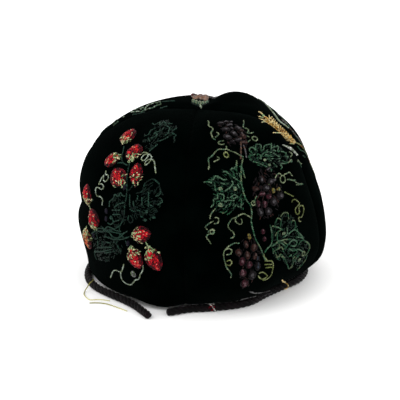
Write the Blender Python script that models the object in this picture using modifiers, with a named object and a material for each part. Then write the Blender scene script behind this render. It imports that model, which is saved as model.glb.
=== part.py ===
"""A soft velvet smoking cap: four gores sewn into a dome, with a twisted cord round the hem.

The cap stands on its hem on a flat surface, as it would when taken off.  The front is -Y, the
wearer's left is +X and +Z is up.  The origin is the middle of the cap's footprint, at floor level.
Azimuths run round the cap from the front (0) through +X (90) to the back (180).

Run it with: blender --background --python part.py
"""

import math
from collections import namedtuple

import bmesh
import bpy
import numpy as np
from mathutils import Matrix, Vector

MM = 0.001

# Driving sizes, in millimetres.
WALL = 2.4  # velvet, wadding and lining together
SEAM_GAP = 0.3  # left between two gores, and between two stretches of cord
CORD_DIAMETER = 6.4
HEM_CLEARANCE = 0.4  # from the top of the cord to the hem above it
HEM_HEIGHT = CORD_DIAMETER + HEM_CLEARANCE
AXIS_X = -5.0  # the seams meet over this point, left of the middle of the footprint
AXIS_Y = 0.0

# The crown's profile, hem to apex.  share runs along the profile; lean is how far that section
# sits to the right of the axis where the seams meet.
Section = namedtuple("Section", "height radius lean")
SECTIONS = (
    Section(HEM_HEIGHT, 94.0, 2.0),
    Section(19.0, 101.0, 7.0),
    Section(35.0, 104.5, 6.5),
    Section(53.0, 105.5, 4.0),
    Section(73.0, 102.5, 2.5),
    Section(93.0, 98.5, 0.0),
    Section(111.0, 92.0, 0.0),
    Section(127.0, 80.0, 1.5),
    Section(139.0, 66.0, 4.5),
    Section(147.5, 48.0, 6.0),
    Section(151.5, 0.0, 0.0),
)
OVAL = 0.035  # the cap is this share shallower, front to back, than it is wide

# The hem: an oval that the seams pull into soft corners.  sag is how far it drops, in front,
# where its cord has come away.
HemPoint = namedtuple("HemPoint", "azimuth radius sag")
HEM = (
    HemPoint(-96.0, 94.5, 0.0),
    HemPoint(-72.0, 91.5, 0.0),
    HemPoint(-50.0, 90.0, 0.0),
    HemPoint(-38.0, 88.8, 0.0),
    HemPoint(-31.0, 88.2, 1.6),
    HemPoint(-24.0, 87.6, 3.4),
    HemPoint(-17.0, 86.8, 3.4),
    HemPoint(-10.0, 85.6, 1.2),
    HemPoint(-4.0, 84.8, 0.0),
    HemPoint(10.0, 84.0, 0.0),
    HemPoint(30.0, 85.0, 0.0),
    HemPoint(48.0, 80.5, 0.0),
    HemPoint(62.0, 83.0, 0.0),
    HemPoint(76.0, 91.0, 0.0),
    HemPoint(88.0, 94.5, 0.0),
    HemPoint(108.0, 92.0, 0.0),
    HemPoint(135.0, 87.0, 0.0),
    HemPoint(158.0, 88.0, 0.0),
    HemPoint(200.0, 87.0, 0.0),
    HemPoint(232.0, 90.0, 0.0),
)
HEM_REACH = 0.18  # share of the profile over which the hem's plan fades into the round crown

# The gores, each from its first seam to the next one.  puff is how far its middle swells out.
Gore = namedtuple("Gore", "name seam puff")
GORES = (
    Gore("velvet_panel_strawberry", -96.0, 1.5),
    Gore("velvet_panel_grape", -6.0, 1.5),
    Gore("velvet_panel_wheat", 74.0, 2.5),
    Gore("velvet_panel_rose", 158.0, 1.0),
)
SEAM_GROOVE = 2.6  # depth of the valley along a seam
SEAM_GROOVE_WIDTH = 8.0

# The main dents and swellings of the slack crown; a dent's depth is negative.
Dent = namedtuple("Dent", "azimuth share depth half_angle half_share")
DENTS = (
    Dent(131.0, 0.79, 5.0, 23.0, 0.11),
    Dent(106.0, 0.70, -2.0, 18.0, 0.07),
    Dent(-92.0, 0.31, -2.6, 18.0, 0.035),
    Dent(92.0, 0.46, -2.0, 18.0, 0.08),
    Dent(48.0, 0.14, -1.5, 16.0, 0.06),
)

CROWN_COLUMNS_PER_GORE = 15
CROWN_ROWS = 20

# The sewn cord's way round the hem.  outset is from the hem's outer edge to the cord's middle.
CordPoint = namedtuple("CordPoint", "azimuth outset")
SEWN_CORD = (
    CordPoint(-15.0, 8.2),
    CordPoint(-11.5, 5.2),
    CordPoint(-8.0, 2.2),
    CordPoint(-4.0, -0.2),
    CordPoint(3.0, -0.8),
    CordPoint(90.0, -0.8),
    CordPoint(180.0, -0.8),
    CordPoint(264.0, -0.8),
)
# The cord that came unsewn lies on the floor from the end of the sewn one to its cut end.
RoutePoint = namedtuple("RoutePoint", "x y")
LOOSE_CORD = (
    RoutePoint(-98.2, 9.8),
    RoutePoint(-99.0, 2.0),
    RoutePoint(-99.4, -6.0),
    RoutePoint(-98.9, -15.0),
    RoutePoint(-97.0, -24.5),
    RoutePoint(-93.4, -33.5),
    RoutePoint(-88.2, -42.0),
    RoutePoint(-81.5, -50.0),
    RoutePoint(-74.3, -57.4),
    RoutePoint(-67.2, -64.4),
    RoutePoint(-60.8, -71.4),
    RoutePoint(-55.3, -78.5),
    RoutePoint(-50.9, -85.8),
    RoutePoint(-47.2, -92.2),
    RoutePoint(-43.7, -98.4),
)
SEWN_CORD_POINTS = 78
LOOSE_CORD_POINTS = 14
END_STEP = 1.0  # a short first and last step, so that the end faces are square to the route
CORD_BEVEL_RESOLUTION = 4  # twelve sides
CORD_TILT = math.radians(15.0)  # turns one of the twelve flats to the floor

SEAM_CUTTER_SIZE = (400.0, 200.0, 400.0)

VELVET = ((0.004, 0.006, 0.006), 0.85)
CORD_SILK = ((0.012, 0.008, 0.011), 0.6)


def smooth_rows(where, stations, values):
    """Values of a smooth curve through table rows, read at any stations between them."""
    stations = np.asarray(stations, float)
    values = np.asarray(values, float)
    slopes = np.gradient(values, stations)
    row = np.clip(np.searchsorted(stations, where, side="right") - 1, 0, len(stations) - 2)
    step = stations[row + 1] - stations[row]
    u = (where - stations[row]) / step
    start = (1 + 2 * u) * (1 - u) ** 2 * values[row] + u * (1 - u) ** 2 * step * slopes[row]
    end = u * u * (3 - 2 * u) * values[row + 1] + u * u * (u - 1) * step * slopes[row + 1]
    return start + end


def profile_shares():
    """Share of the profile's length at each section, 0 at the hem and 1 at the apex."""
    heights = [section.height for section in SECTIONS]
    radii = [section.radius for section in SECTIONS]
    lengths = np.hypot(np.diff(radii), np.diff(heights))
    return np.concatenate([[0.0], np.cumsum(lengths)]) / lengths.sum()


def turn_between(azimuth, other):
    """Signed angle in degrees from one azimuth to another, between -180 and 180."""
    return (np.asarray(azimuth) - other + 180.0) % 360.0 - 180.0


def hem_value(azimuth, column):
    """One column of the hem's table at any azimuth, smooth all the way round."""
    azimuths = [point.azimuth for point in HEM]
    values = [getattr(point, column) for point in HEM]
    before = [a - 360.0 for a in azimuths[-2:]]
    after = [a + 360.0 for a in azimuths[:2]]
    around = before + azimuths + after
    closed = values[-2:] + values + values[:2]
    inside = (np.asarray(azimuth, float) - azimuths[0]) % 360.0 + azimuths[0]
    return smooth_rows(inside, around, closed)


def seam_relief(azimuth, radius):
    """How far the seams draw the crown in: a groove of constant width on each side of a seam."""
    off_seam = np.min([np.abs(turn_between(azimuth, gore.seam)) for gore in GORES], axis=0)
    arc = radius * np.radians(np.minimum(off_seam, 90.0))
    return -SEAM_GROOVE * np.exp(-((arc / SEAM_GROOVE_WIDTH) ** 2))


def gore_puff(azimuth, share):
    """The swelling of each gore's middle, strongest two thirds of the way up."""
    seams = [gore.seam for gore in GORES] + [GORES[0].seam + 360.0]
    inside = (azimuth - seams[0]) % 360.0 + seams[0]
    swelling = np.zeros_like(inside)
    for gore, start, end in zip(GORES, seams, seams[1:]):
        across = np.clip((inside - start) / (end - start), 0.0, 1.0)
        swelling += gore.puff * np.sin(np.pi * across)
    return swelling * np.sin(np.pi * np.clip(share, 0.0, 1.0)) ** 2


def dent_depth(azimuth, share):
    """The sum of the crown's dents and swellings."""
    depth = np.zeros_like(np.asarray(azimuth, float))
    for dent in DENTS:
        around = turn_between(azimuth, dent.azimuth) / dent.half_angle
        along = (share - dent.share) / dent.half_share
        depth += dent.depth * np.exp(-(around**2) - along**2)
    return depth


def crown_point(azimuth, share):
    """Outer surface of the crown, in metres, for arrays of azimuths and shares of the profile."""
    shares = profile_shares()
    radius = smooth_rows(share, shares, [section.radius for section in SECTIONS])
    height = smooth_rows(share, shares, [section.height for section in SECTIONS])
    lean = smooth_rows(share, shares, [section.lean for section in SECTIONS])

    step = 0.01
    ahead = np.clip(share + step, 0.0, 1.0)
    behind = np.clip(share - step, 0.0, 1.0)
    rise = smooth_rows(ahead, shares, [s.height for s in SECTIONS])
    rise = rise - smooth_rows(behind, shares, [s.height for s in SECTIONS])
    run = smooth_rows(ahead, shares, [s.radius for s in SECTIONS])
    run = run - smooth_rows(behind, shares, [s.radius for s in SECTIONS])
    length = np.hypot(rise, run)
    out, up = rise / length, -run / length

    turn = np.radians(azimuth)
    above_hem = np.clip(share / HEM_REACH, 0.0, 1.0)
    hem_fade = (1.0 - above_hem) ** 2 * (1.0 + 2.0 * above_hem)
    flat = 1.0 - OVAL * np.cos(turn) ** 2
    plan = radius * flat + lean * np.sin(turn)
    hem_plan = SECTIONS[0].radius * flat + SECTIONS[0].lean * np.sin(turn)
    plan = plan + hem_fade * (hem_value(azimuth, "radius") - hem_plan)
    height = height - hem_fade * np.maximum(hem_value(azimuth, "sag"), 0.0)

    rim_fade = np.clip(share / 0.06, 0.0, 1.0)
    relief = seam_relief(azimuth, plan) + gore_puff(azimuth, share)
    relief = (relief + dent_depth(azimuth, share)) * rim_fade
    plan = np.maximum(plan + out * relief, 0.0) * np.clip((1.0 - share) / 0.004, 0.0, 1.0)
    x = AXIS_X + plan * np.sin(turn)
    y = AXIS_Y - plan * np.cos(turn)
    return np.stack([x, y, height + up * relief], axis=-1) * MM


def make_collection(name):
    """A new collection, linked to the scene."""
    collection = bpy.data.collections.new(name)
    bpy.context.scene.collection.children.link(collection)
    return collection


def make_material(name, finish):
    """A Principled material from (colour, roughness)."""
    colour, roughness = finish
    material = bpy.data.materials.new(name)
    material.use_nodes = True
    shader = material.node_tree.nodes["Principled BSDF"]
    shader.inputs["Base Color"].default_value = (*colour, 1.0)
    shader.inputs["Roughness"].default_value = roughness
    shader.inputs["Metallic"].default_value = 0.0
    shader.inputs["Sheen Weight"].default_value = 0.4
    return material


def crown_mesh():
    """The whole crown as one open surface: a grid bent round the profile and closed at the apex."""
    columns = CROWN_COLUMNS_PER_GORE * len(GORES)
    seams = np.array([gore.seam for gore in GORES] + [GORES[0].seam + 360.0])
    form = bmesh.new()
    bmesh.ops.create_grid(form, x_segments=columns, y_segments=CROWN_ROWS, size=0.5)
    grid = np.array([vertex.co for vertex in form.verts]) + 0.5
    azimuth = np.interp(grid[:, 0] * len(GORES), np.arange(len(seams)), seams)
    for vertex, point in zip(form.verts, crown_point(azimuth, grid[:, 1])):
        vertex.co = point
    bmesh.ops.remove_doubles(form, verts=form.verts, dist=0.05 * MM)
    bmesh.ops.recalc_face_normals(form, faces=form.faces)
    if min(form.faces, key=lambda face: -face.calc_center_median().z).normal.z < 0:
        bmesh.ops.reverse_faces(form, faces=form.faces)
    mesh = bpy.data.meshes.new("crown")
    form.to_mesh(mesh)
    form.free()
    mesh.shade_smooth()
    return mesh


def seam_cutter(name, azimuth, side, collection):
    """A block that takes away what lies before (side -1) or after (side 1) a seam's plane."""
    form = bmesh.new()
    size = Vector(SEAM_CUTTER_SIZE) * MM
    offset = side * (size.y - SEAM_GAP * MM) / 2
    place = Matrix.Translation((0.0, offset, 0.0)) @ Matrix.Diagonal((*size, 1.0))
    bmesh.ops.create_cube(form, size=1.0, matrix=place)
    mesh = bpy.data.meshes.new(name)
    form.to_mesh(mesh)
    form.free()
    cutter = bpy.data.objects.new(name, mesh)
    cutter.location = (AXIS_X * MM, AXIS_Y * MM, 0.0)
    cutter.rotation_euler = (0.0, 0.0, math.radians(azimuth - 90.0))
    cutter.hide_render = True
    cutter.display_type = "WIRE"
    collection.objects.link(cutter)
    return cutter


def make_gores(parent, collection, cutters):
    """The four velvet gores: the crown's surface given its thickness and cut at two seams."""
    mesh = crown_mesh()
    mesh.materials.append(make_material("black_velvet", VELVET))
    for gore, following in zip(GORES, GORES[1:] + GORES[:1]):
        panel = bpy.data.objects.new(gore.name, mesh)
        panel.parent = parent
        collection.objects.link(panel)
        wall = panel.modifiers.new("wall", "SOLIDIFY")
        wall.thickness = WALL * MM
        wall.offset = -1.0
        for side, seam in ((-1, gore.seam), (1, following.seam)):
            name = f"cut_{gore.name}_{'before' if side < 0 else 'after'}"
            cut = panel.modifiers.new(name, "BOOLEAN")
            cut.operation = "DIFFERENCE"
            cut.solver = "EXACT"
            cut.object = seam_cutter(name, seam, side, cutters)


def stations(start, end, count, end_step):
    """Evenly spaced stations from start to end, with one more close to each end."""
    even = np.linspace(start, end, count)
    return np.concatenate([even[:1], [start + end_step], even[1:-1], [end - end_step], even[-1:]])


def sewn_route():
    """The middle line of the cord sewn under the hem, in metres."""
    azimuths = [point.azimuth for point in SEWN_CORD]
    outsets = [point.outset for point in SEWN_CORD]
    end_turn = math.degrees(END_STEP / HEM[0].radius)
    azimuth = stations(azimuths[0], azimuths[-1], SEWN_CORD_POINTS, end_turn)
    radius = hem_value(azimuth, "radius") + smooth_rows(azimuth, azimuths, outsets)
    turn = np.radians(azimuth)
    x = AXIS_X + radius * np.sin(turn)
    y = AXIS_Y - radius * np.cos(turn)
    return np.stack([x, y, np.full_like(x, CORD_DIAMETER / 2)], axis=-1) * MM


def loose_route():
    """The middle line of the loose cord, in metres, a seam's gap clear of the sewn one."""
    marks = np.array(LOOSE_CORD)
    lengths = np.hypot(*np.diff(marks, axis=0).T)
    along = np.concatenate([[0.0], np.cumsum(lengths)])
    where = stations(SEAM_GAP, along[-1], LOOSE_CORD_POINTS, END_STEP)
    x = smooth_rows(where, along, marks[:, 0])
    y = smooth_rows(where, along, marks[:, 1])
    return np.stack([x, y, np.full_like(x, CORD_DIAMETER / 2)], axis=-1) * MM


def make_cord(name, points, parent, collection, material):
    """One stretch of cord: a round tube along its route, with filled ends."""
    curve = bpy.data.curves.new(name, "CURVE")
    curve.dimensions = "3D"
    curve.twist_mode = "Z_UP"
    curve.bevel_depth = CORD_DIAMETER / 2 / math.cos(CORD_TILT) * MM
    curve.bevel_resolution = CORD_BEVEL_RESOLUTION
    curve.use_fill_caps = True
    spline = curve.splines.new("POLY")
    spline.points.add(len(points) - 1)
    for spline_point, point in zip(spline.points, points):
        spline_point.co = (*point, 1.0)
        spline_point.tilt = CORD_TILT
    curve.materials.append(material)
    cord = bpy.data.objects.new(name, curve)
    cord.parent = parent
    collection.objects.link(cord)


def main():
    """Clears the scene and builds the cap."""
    for old in list(bpy.data.objects):
        bpy.data.objects.remove(old)
    parts = make_collection("smoking_cap")
    cutters = make_collection("cutters")
    cap = bpy.data.objects.new("cap", None)
    parts.objects.link(cap)

    make_gores(cap, parts, cutters)
    silk = make_material("cord_silk", CORD_SILK)
    make_cord("edge_cord", sewn_route(), cap, parts, silk)
    make_cord("loose_cord", loose_route(), cap, parts, silk)


main()
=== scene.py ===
"""Looks of the velvet smoking cap: embroidered velvet gores, a twisted cord and loose threads.

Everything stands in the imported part's own frame, in metres.  Embroidery is charted in
millimetres: each gore's chart is its velvet unrolled about a middle meridian, x to the right
round the cap and y up the profile from the hem.
"""

from __future__ import annotations

import logging
import math
import sys
from collections.abc import Callable
from dataclasses import dataclass, field
from enum import Enum
from typing import NamedTuple

import bpy
import numpy as np
from numpy.typing import NDArray
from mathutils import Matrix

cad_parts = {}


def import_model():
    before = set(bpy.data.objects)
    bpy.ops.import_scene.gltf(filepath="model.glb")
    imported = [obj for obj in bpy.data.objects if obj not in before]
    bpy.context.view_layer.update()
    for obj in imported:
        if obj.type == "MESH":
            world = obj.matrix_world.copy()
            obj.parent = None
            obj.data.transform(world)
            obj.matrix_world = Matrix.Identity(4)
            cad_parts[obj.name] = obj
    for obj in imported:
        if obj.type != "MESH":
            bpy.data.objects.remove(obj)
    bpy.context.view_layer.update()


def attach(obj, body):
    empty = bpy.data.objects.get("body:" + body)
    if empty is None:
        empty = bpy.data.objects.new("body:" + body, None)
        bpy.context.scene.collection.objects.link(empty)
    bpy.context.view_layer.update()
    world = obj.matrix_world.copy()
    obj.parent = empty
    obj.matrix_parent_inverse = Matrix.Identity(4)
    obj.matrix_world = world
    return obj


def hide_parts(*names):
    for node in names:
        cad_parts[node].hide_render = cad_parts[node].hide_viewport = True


LOG = logging.getLogger("smoking_cap")
MM = 0.001
SILK_DEPTH = 0.78
TONE_SPREAD = 0.38
TINY = 1e-9
TOP_SHARE = 0.985

Array = NDArray[np.float64]
Rgb = tuple[float, float, float]
Chart2D = tuple[tuple[float, float], ...]


# Colours and finishes.


def linear(rgb: Rgb) -> Array:
    """Turns a colour on the 0 to 255 screen scale into linear light.

    Args:
        rgb: red, green and blue from 0 to 255.

    Returns:
        The linear colour: c/12.92 below 0.04045, else ((c + 0.055)/1.055) to the power 2.4.
    """
    c = np.asarray(rgb, float) / 255.0
    return np.where(c <= 0.04045, c / 12.92, ((c + 0.055) / 1.055) ** 2.4)


class Tone(Enum):
    """The dyed threads, on the 0 to 255 screen scale."""

    CRIMSON = (188, 6, 34)
    SCARLET = (212, 36, 36)
    CARMINE = (112, 2, 22)
    WINE = (34, 0, 6)
    ROSE_PINK = (226, 108, 100)
    DUSTY_ROSE = (128, 92, 90)
    PEACH = (220, 158, 118)
    BEIGE = (128, 108, 96)
    ORANGE = (208, 112, 58)
    CREAM = (214, 204, 158)
    PALE_GREEN = (150, 178, 126)
    SEED_DARK = (40, 0, 4)
    SEED_OLIVE = (112, 98, 44)
    TEAL = (26, 58, 46)
    TEAL_LIGHT = (40, 67, 55)
    TEAL_DARK = (5, 26, 19)
    BOTTLE = (2, 34, 20)
    LEAF = (32, 76, 50)
    LEAF_LIGHT = (76, 106, 82)
    SAGE = (90, 106, 76)
    SAGE_PALE = (128, 140, 108)
    LICHEN = (164, 178, 160)
    MOSS = (98, 108, 56)
    MOSS_PALE = (132, 140, 94)
    BARK = (92, 68, 56)
    BARK_RED = (46, 20, 15)
    MAUVE_GREY = (84, 81, 84)
    MAUVE_BROWN = (80, 64, 60)
    PLUM = (21, 16, 19)
    PLUM_DARK = (6, 2, 4)
    GRAPE_RED = (48, 8, 20)
    GRAPE_PINK = (106, 78, 84)
    SLATE = (54, 64, 76)
    LILAC = (14, 9, 26)
    STRAW = (220, 172, 84)
    STRAW_PALE = (246, 222, 158)
    STRAW_BROWN = (124, 78, 28)
    YELLOW = (150, 146, 76)
    WHITE = (226, 228, 220)
    PALE_YELLOW = (222, 216, 160)
    # A grey for worn threads, also stitched as painted sheen on the velvet and the cord.
    WEAR_AND_SHEEN_GREY = (118, 118, 118)
    GREEN_BED = (2, 28, 15)
    BLUE_BED = (2, 22, 18)
    MAROON_BED = (13, 3, 6)
    OLIVE_BED = (14, 16, 6)

    def light(self) -> Array:
        """The thread's linear colour, deepened because silk swallows some of the light."""
        return SILK_DEPTH * linear(self.value)


@dataclass(frozen=True)
class Finish:
    """What every finish has: a name, a roughness, how strongly it mirrors light, and a sheen."""

    name: str
    roughness: float = 0.7
    specular: float = 0.3
    sheen: float = 0.0

    def start(self) -> tuple[bpy.types.Material, bpy.types.NodeTree, bpy.types.Node]:
        """Makes the material with its shader's uniform numbers set.

        Returns:
            The material, its node tree and its Principled shader.
        """
        material = bpy.data.materials.new(self.name)
        material.use_nodes = True
        tree = material.node_tree
        shader = tree.nodes["Principled BSDF"]
        shader.inputs["Roughness"].default_value = self.roughness
        shader.inputs["Specular IOR Level"].default_value = self.specular
        shader.inputs["Sheen Weight"].default_value = self.sheen
        return material, tree, shader

    @staticmethod
    def node(tree: bpy.types.NodeTree, kind: str, **values: object) -> bpy.types.Node:
        """Adds a node and sets its inputs by name.

        Args:
            tree: the material's nodes.
            kind: Blender's name of the node type.
            values: inputs to set; an underscore stands for a space.

        Returns:
            The new node.
        """
        made = tree.nodes.new(kind)
        for name, value in values.items():
            made.inputs[name.replace("_", " ")].default_value = value
        return made

    @staticmethod
    def bump(
        tree: bpy.types.NodeTree,
        shader: bpy.types.Node,
        height: bpy.types.NodeSocket,
        strength: float,
        distance: float,
    ) -> None:
        """Feeds a height to the shader's normal.

        Args:
            tree: the material's nodes.
            shader: the Principled shader.
            height: socket that gives the height from 0 to 1.
            strength: how much of the bump shows.
            distance: height of the relief, in metres.
        """
        made = Finish.node(tree, "ShaderNodeBump", Strength=strength, Distance=distance)
        tree.links.new(height, made.inputs["Height"])
        tree.links.new(made.outputs["Normal"], shader.inputs["Normal"])

    @staticmethod
    def noise(
        tree: bpy.types.NodeTree, place: bpy.types.NodeSocket, **values: float
    ) -> bpy.types.NodeSocket:
        """Adds a noise texture.

        Args:
            tree: the material's nodes.
            place: socket that gives the place to read it at.
            values: its inputs to set.

        Returns:
            The socket that gives the noise, from 0 to 1.
        """
        made = Finish.node(tree, "ShaderNodeTexNoise", **values)
        tree.links.new(place, made.inputs["Vector"])
        return made.outputs["Fac"]

    @staticmethod
    def ramp(
        tree: bpy.types.NodeTree,
        shader: bpy.types.Node,
        value: bpy.types.NodeSocket,
        stops: tuple[tuple[float, Rgb], tuple[float, Rgb]],
    ) -> None:
        """Feeds the shader's colour from a value, through a ramp with two stops.

        Args:
            tree: the material's nodes.
            shader: the Principled shader.
            value: socket that gives the value, from 0 to 1.
            stops: the value and the linear colour of each stop.
        """
        made = tree.nodes.new("ShaderNodeValToRGB")
        for element, (position, colour) in zip(made.color_ramp.elements, stops):
            element.position = position
            element.color = (*colour, 1.0)
        tree.links.new(value, made.inputs["Fac"])
        tree.links.new(made.outputs["Color"], shader.inputs["Base Color"])

    @staticmethod
    def plies(
        tree: bpy.types.NodeTree,
        shader: bpy.types.Node,
        place: bpy.types.NodeSocket,
        wave: tuple[float, float],
        relief: tuple[float, float],
    ) -> None:
        """Raises slanting plies, a diagonal wave, in the shader's normal.

        Args:
            tree: the material's nodes.
            shader: the Principled shader.
            place: socket that gives the place on the piece's own map.
            wave: the wave's scale and distortion.
            relief: strength of the bump, and its height in metres.
        """
        made = Finish.node(tree, "ShaderNodeTexWave", Scale=wave[0], Distortion=wave[1])
        made.bands_direction = "DIAGONAL"
        tree.links.new(place, made.inputs["Vector"])
        Finish.bump(tree, shader, made.outputs["Fac"], *relief)


@dataclass(frozen=True)
class Velvet(Finish):
    """Black silk velvet: light is lost in the pile, and comes back only at grazing angles."""

    sheen: float = 0.006
    sheen_roughness: float = 0.38
    sheen_tint: Rgb = (0.78, 0.96, 0.92)
    deep: tuple[float, Rgb] = (0.38, (0.00001, 0.0003, 0.0002))
    brushed: tuple[float, Rgb] = (0.72, (0.0002, 0.0008, 0.0006))
    patch_scale: float = 42.0
    nap_scale: float = 2600.0
    brush_scale: float = 260.0
    brush_share: float = 0.6
    relief: tuple[float, float] = (0.55, 0.0005)

    def make(self) -> bpy.types.Material:
        """Builds the velvet's nodes.

        Returns:
            The material: broad soft patches of crushed pile, and a fine nap as bump.
        """
        material, tree, shader = self.start()
        shader.inputs["Sheen Roughness"].default_value = self.sheen_roughness
        shader.inputs["Sheen Tint"].default_value = (*self.sheen_tint, 1.0)
        place = tree.nodes.new("ShaderNodeTexCoord").outputs["Object"]
        patch = self.noise(tree, place, Scale=self.patch_scale, Detail=3.0)
        self.ramp(tree, shader, patch, (self.deep, self.brushed))
        nap = self.noise(tree, place, Scale=self.nap_scale, Detail=2.0)
        brush = self.noise(tree, place, Scale=self.brush_scale, Detail=4.0, Distortion=1.5)
        both = tree.nodes.new("ShaderNodeMath")
        both.operation = "MULTIPLY_ADD"
        both.inputs[1].default_value = self.brush_share
        tree.links.new(brush, both.inputs[0])
        tree.links.new(nap, both.inputs[2])
        self.bump(tree, shader, both.outputs["Value"], *self.relief)
        return material


@dataclass(frozen=True)
class Lining(Finish):
    """The plain dark cotton inside the crown."""

    colour: Rgb = (0.010, 0.010, 0.011)
    weave_scale: float = 1800.0
    relief: tuple[float, float] = (0.4, 0.0002)

    def make(self) -> bpy.types.Material:
        """A dull cloth with a fine plain weave."""
        material, tree, shader = self.start()
        shader.inputs["Base Color"].default_value = (*self.colour, 1.0)
        place = tree.nodes.new("ShaderNodeTexCoord").outputs["Object"]
        weave = self.node(tree, "ShaderNodeTexVoronoi", Scale=self.weave_scale)
        tree.links.new(place, weave.inputs["Vector"])
        self.bump(tree, shader, weave.outputs["Distance"], *self.relief)
        return material


@dataclass(frozen=True)
class Thread(Finish):
    """Dyed embroidery silk: each stitch has its own tone, and its ply shows as fine ridges."""

    sheen: float = 0.015
    mottle_scale: float = 1400.0
    mottle: tuple[float, float] = (0.62, 1.38)
    ply: tuple[float, float] = (1.9, 0.6)
    relief: tuple[float, float] = (0.5, 0.00015)

    def make(self) -> bpy.types.Material:
        """Builds the thread's nodes.

        Returns:
            The material: the stitch's tone, mottled by a fine noise, with slanting plies.
        """
        material, tree, shader = self.start()
        tone = tree.nodes.new("ShaderNodeAttribute")
        tone.attribute_name = "tone"
        place = tree.nodes.new("ShaderNodeTexCoord").outputs
        mottle = self.noise(tree, place["Object"], Scale=self.mottle_scale, Detail=2.0)
        low, high = self.mottle
        spread = self.node(tree, "ShaderNodeMapRange", To_Min=low, To_Max=high)
        tree.links.new(mottle, spread.inputs["Value"])
        shade = tree.nodes.new("ShaderNodeVectorMath")
        shade.operation = "SCALE"
        tree.links.new(tone.outputs["Color"], shade.inputs[0])
        tree.links.new(spread.outputs["Result"], shade.inputs["Scale"])
        tree.links.new(shade.outputs["Vector"], shader.inputs["Base Color"])
        self.plies(tree, shader, place["UV"], self.ply, self.relief)
        return material


@dataclass(frozen=True)
class CordSilk(Finish):
    """The cord's dark silk, brown-black with a purple cast, its yarns slanting on each strand."""

    sheen: float = 0.012
    dark: tuple[float, Rgb] = (0.42, (0.0004, 0.0003, 0.0004))
    worn: tuple[float, Rgb] = (0.70, (0.0075, 0.0034, 0.0046))
    rub_scale: float = 180.0
    yarns: tuple[float, float] = (2.6, 0.8)
    relief: tuple[float, float] = (0.9, 0.0004)

    def make(self) -> bpy.types.Material:
        """Builds the cord's nodes.

        Returns:
            The material: yarns as a slanting wave, with rubbed, paler patches.
        """
        material, tree, shader = self.start()
        place = tree.nodes.new("ShaderNodeTexCoord").outputs
        rub = self.noise(tree, place["Object"], Scale=self.rub_scale, Detail=5.0)
        self.ramp(tree, shader, rub, (self.dark, self.worn))
        self.plies(tree, shader, place["UV"], self.yarns, self.relief)
        return material


@dataclass(frozen=True)
class Paper(Finish):
    """The plain pale floor."""

    colour: Rgb = (0.93, 0.93, 0.925)

    def make(self) -> bpy.types.Material:
        """An even matt white."""
        material, _, shader = self.start()
        shader.inputs["Base Color"].default_value = (*self.colour, 1.0)
        return material


# Meshes and lines.


def make_piece(
    name: str,
    points: Array,
    faces: list[NDArray[np.int64]],
    material: bpy.types.Material,
    uv: Array | None = None,
    tone: Array | None = None,
) -> bpy.types.Object:
    """Makes one piece from whole arrays and lets it ride on the cap.

    Args:
        name: the piece's name.
        points: vertices in metres, (N, 3).
        faces: arrays of faces, each (F, corners).
        material: the piece's finish.
        uv: optional (N, 2) place of each vertex on the piece's own map.
        tone: optional (N, 3) linear colour of each vertex.

    Returns:
        The new object, at the origin.
    """
    mesh = bpy.data.meshes.new(name)
    loops = np.concatenate([part.ravel() for part in faces]).astype(np.int32)
    counts = np.concatenate([np.full(len(part), part.shape[1]) for part in faces])
    starts = np.concatenate([[0], np.cumsum(counts)[:-1]]).astype(np.int32)
    mesh.vertices.add(len(points))
    mesh.vertices.foreach_set("co", np.asarray(points, np.float32).ravel())
    mesh.loops.add(len(loops))
    mesh.loops.foreach_set("vertex_index", loops)
    mesh.polygons.add(len(starts))
    mesh.polygons.foreach_set("loop_start", starts)
    if uv is not None:
        layer = mesh.uv_layers.new(name="along")
        layer.uv.foreach_set("vector", np.asarray(uv, np.float32)[loops].ravel())
    if tone is not None:
        colours = mesh.color_attributes.new("tone", "FLOAT_COLOR", "POINT")
        full = np.concatenate([tone, np.ones((len(tone), 1))], axis=1)
        colours.data.foreach_set("color", full.astype(np.float32).ravel())
    mesh.materials.append(material)
    mesh.update(calc_edges=True)
    mesh.validate()
    mesh.shade_smooth()
    piece = bpy.data.objects.new(name, mesh)
    bpy.context.scene.collection.objects.link(piece)
    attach(piece, "root")
    LOG.info("%s: %d faces", name, len(mesh.polygons))
    return piece


def grid_faces(rows: int, columns: int, wrap: bool = False) -> NDArray[np.int64]:
    """Quads of a grid whose vertex (i, j) has the number i * columns + j.

    Args:
        rows: number of rows.
        columns: number of columns.
        wrap: joins the last column to the first.

    Returns:
        The quads, wound from column to row.
    """
    i, j = np.meshgrid(np.arange(rows - 1), np.arange(columns - (not wrap)), indexing="ij")
    after = (j + 1) % columns
    low, high = i * columns, (i + 1) * columns
    corners = (low + j, low + after, high + after, high + j)
    return np.stack(corners, axis=-1).reshape(-1, 4)


def smooth_rows(where: Array, stations: Array, values: Array) -> Array:
    """Cubic Hermite curve through table rows, with the table's own central slopes.

    Args:
        where: places to read.
        stations: rising places of the rows.
        values: the rows' values.

    Returns:
        The values at where.
    """
    stations, values = np.asarray(stations, float), np.asarray(values, float)
    slopes = np.gradient(values, stations)
    row = np.clip(np.searchsorted(stations, where, side="right") - 1, 0, len(stations) - 2)
    step = stations[row + 1] - stations[row]
    u = (where - stations[row]) / step
    start = (1 + 2 * u) * (1 - u) ** 2 * values[row] + u * (1 - u) ** 2 * step * slopes[row]
    end = u * u * (3 - 2 * u) * values[row + 1] + u * u * (u - 1) * step * slopes[row + 1]
    return start + end


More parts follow.
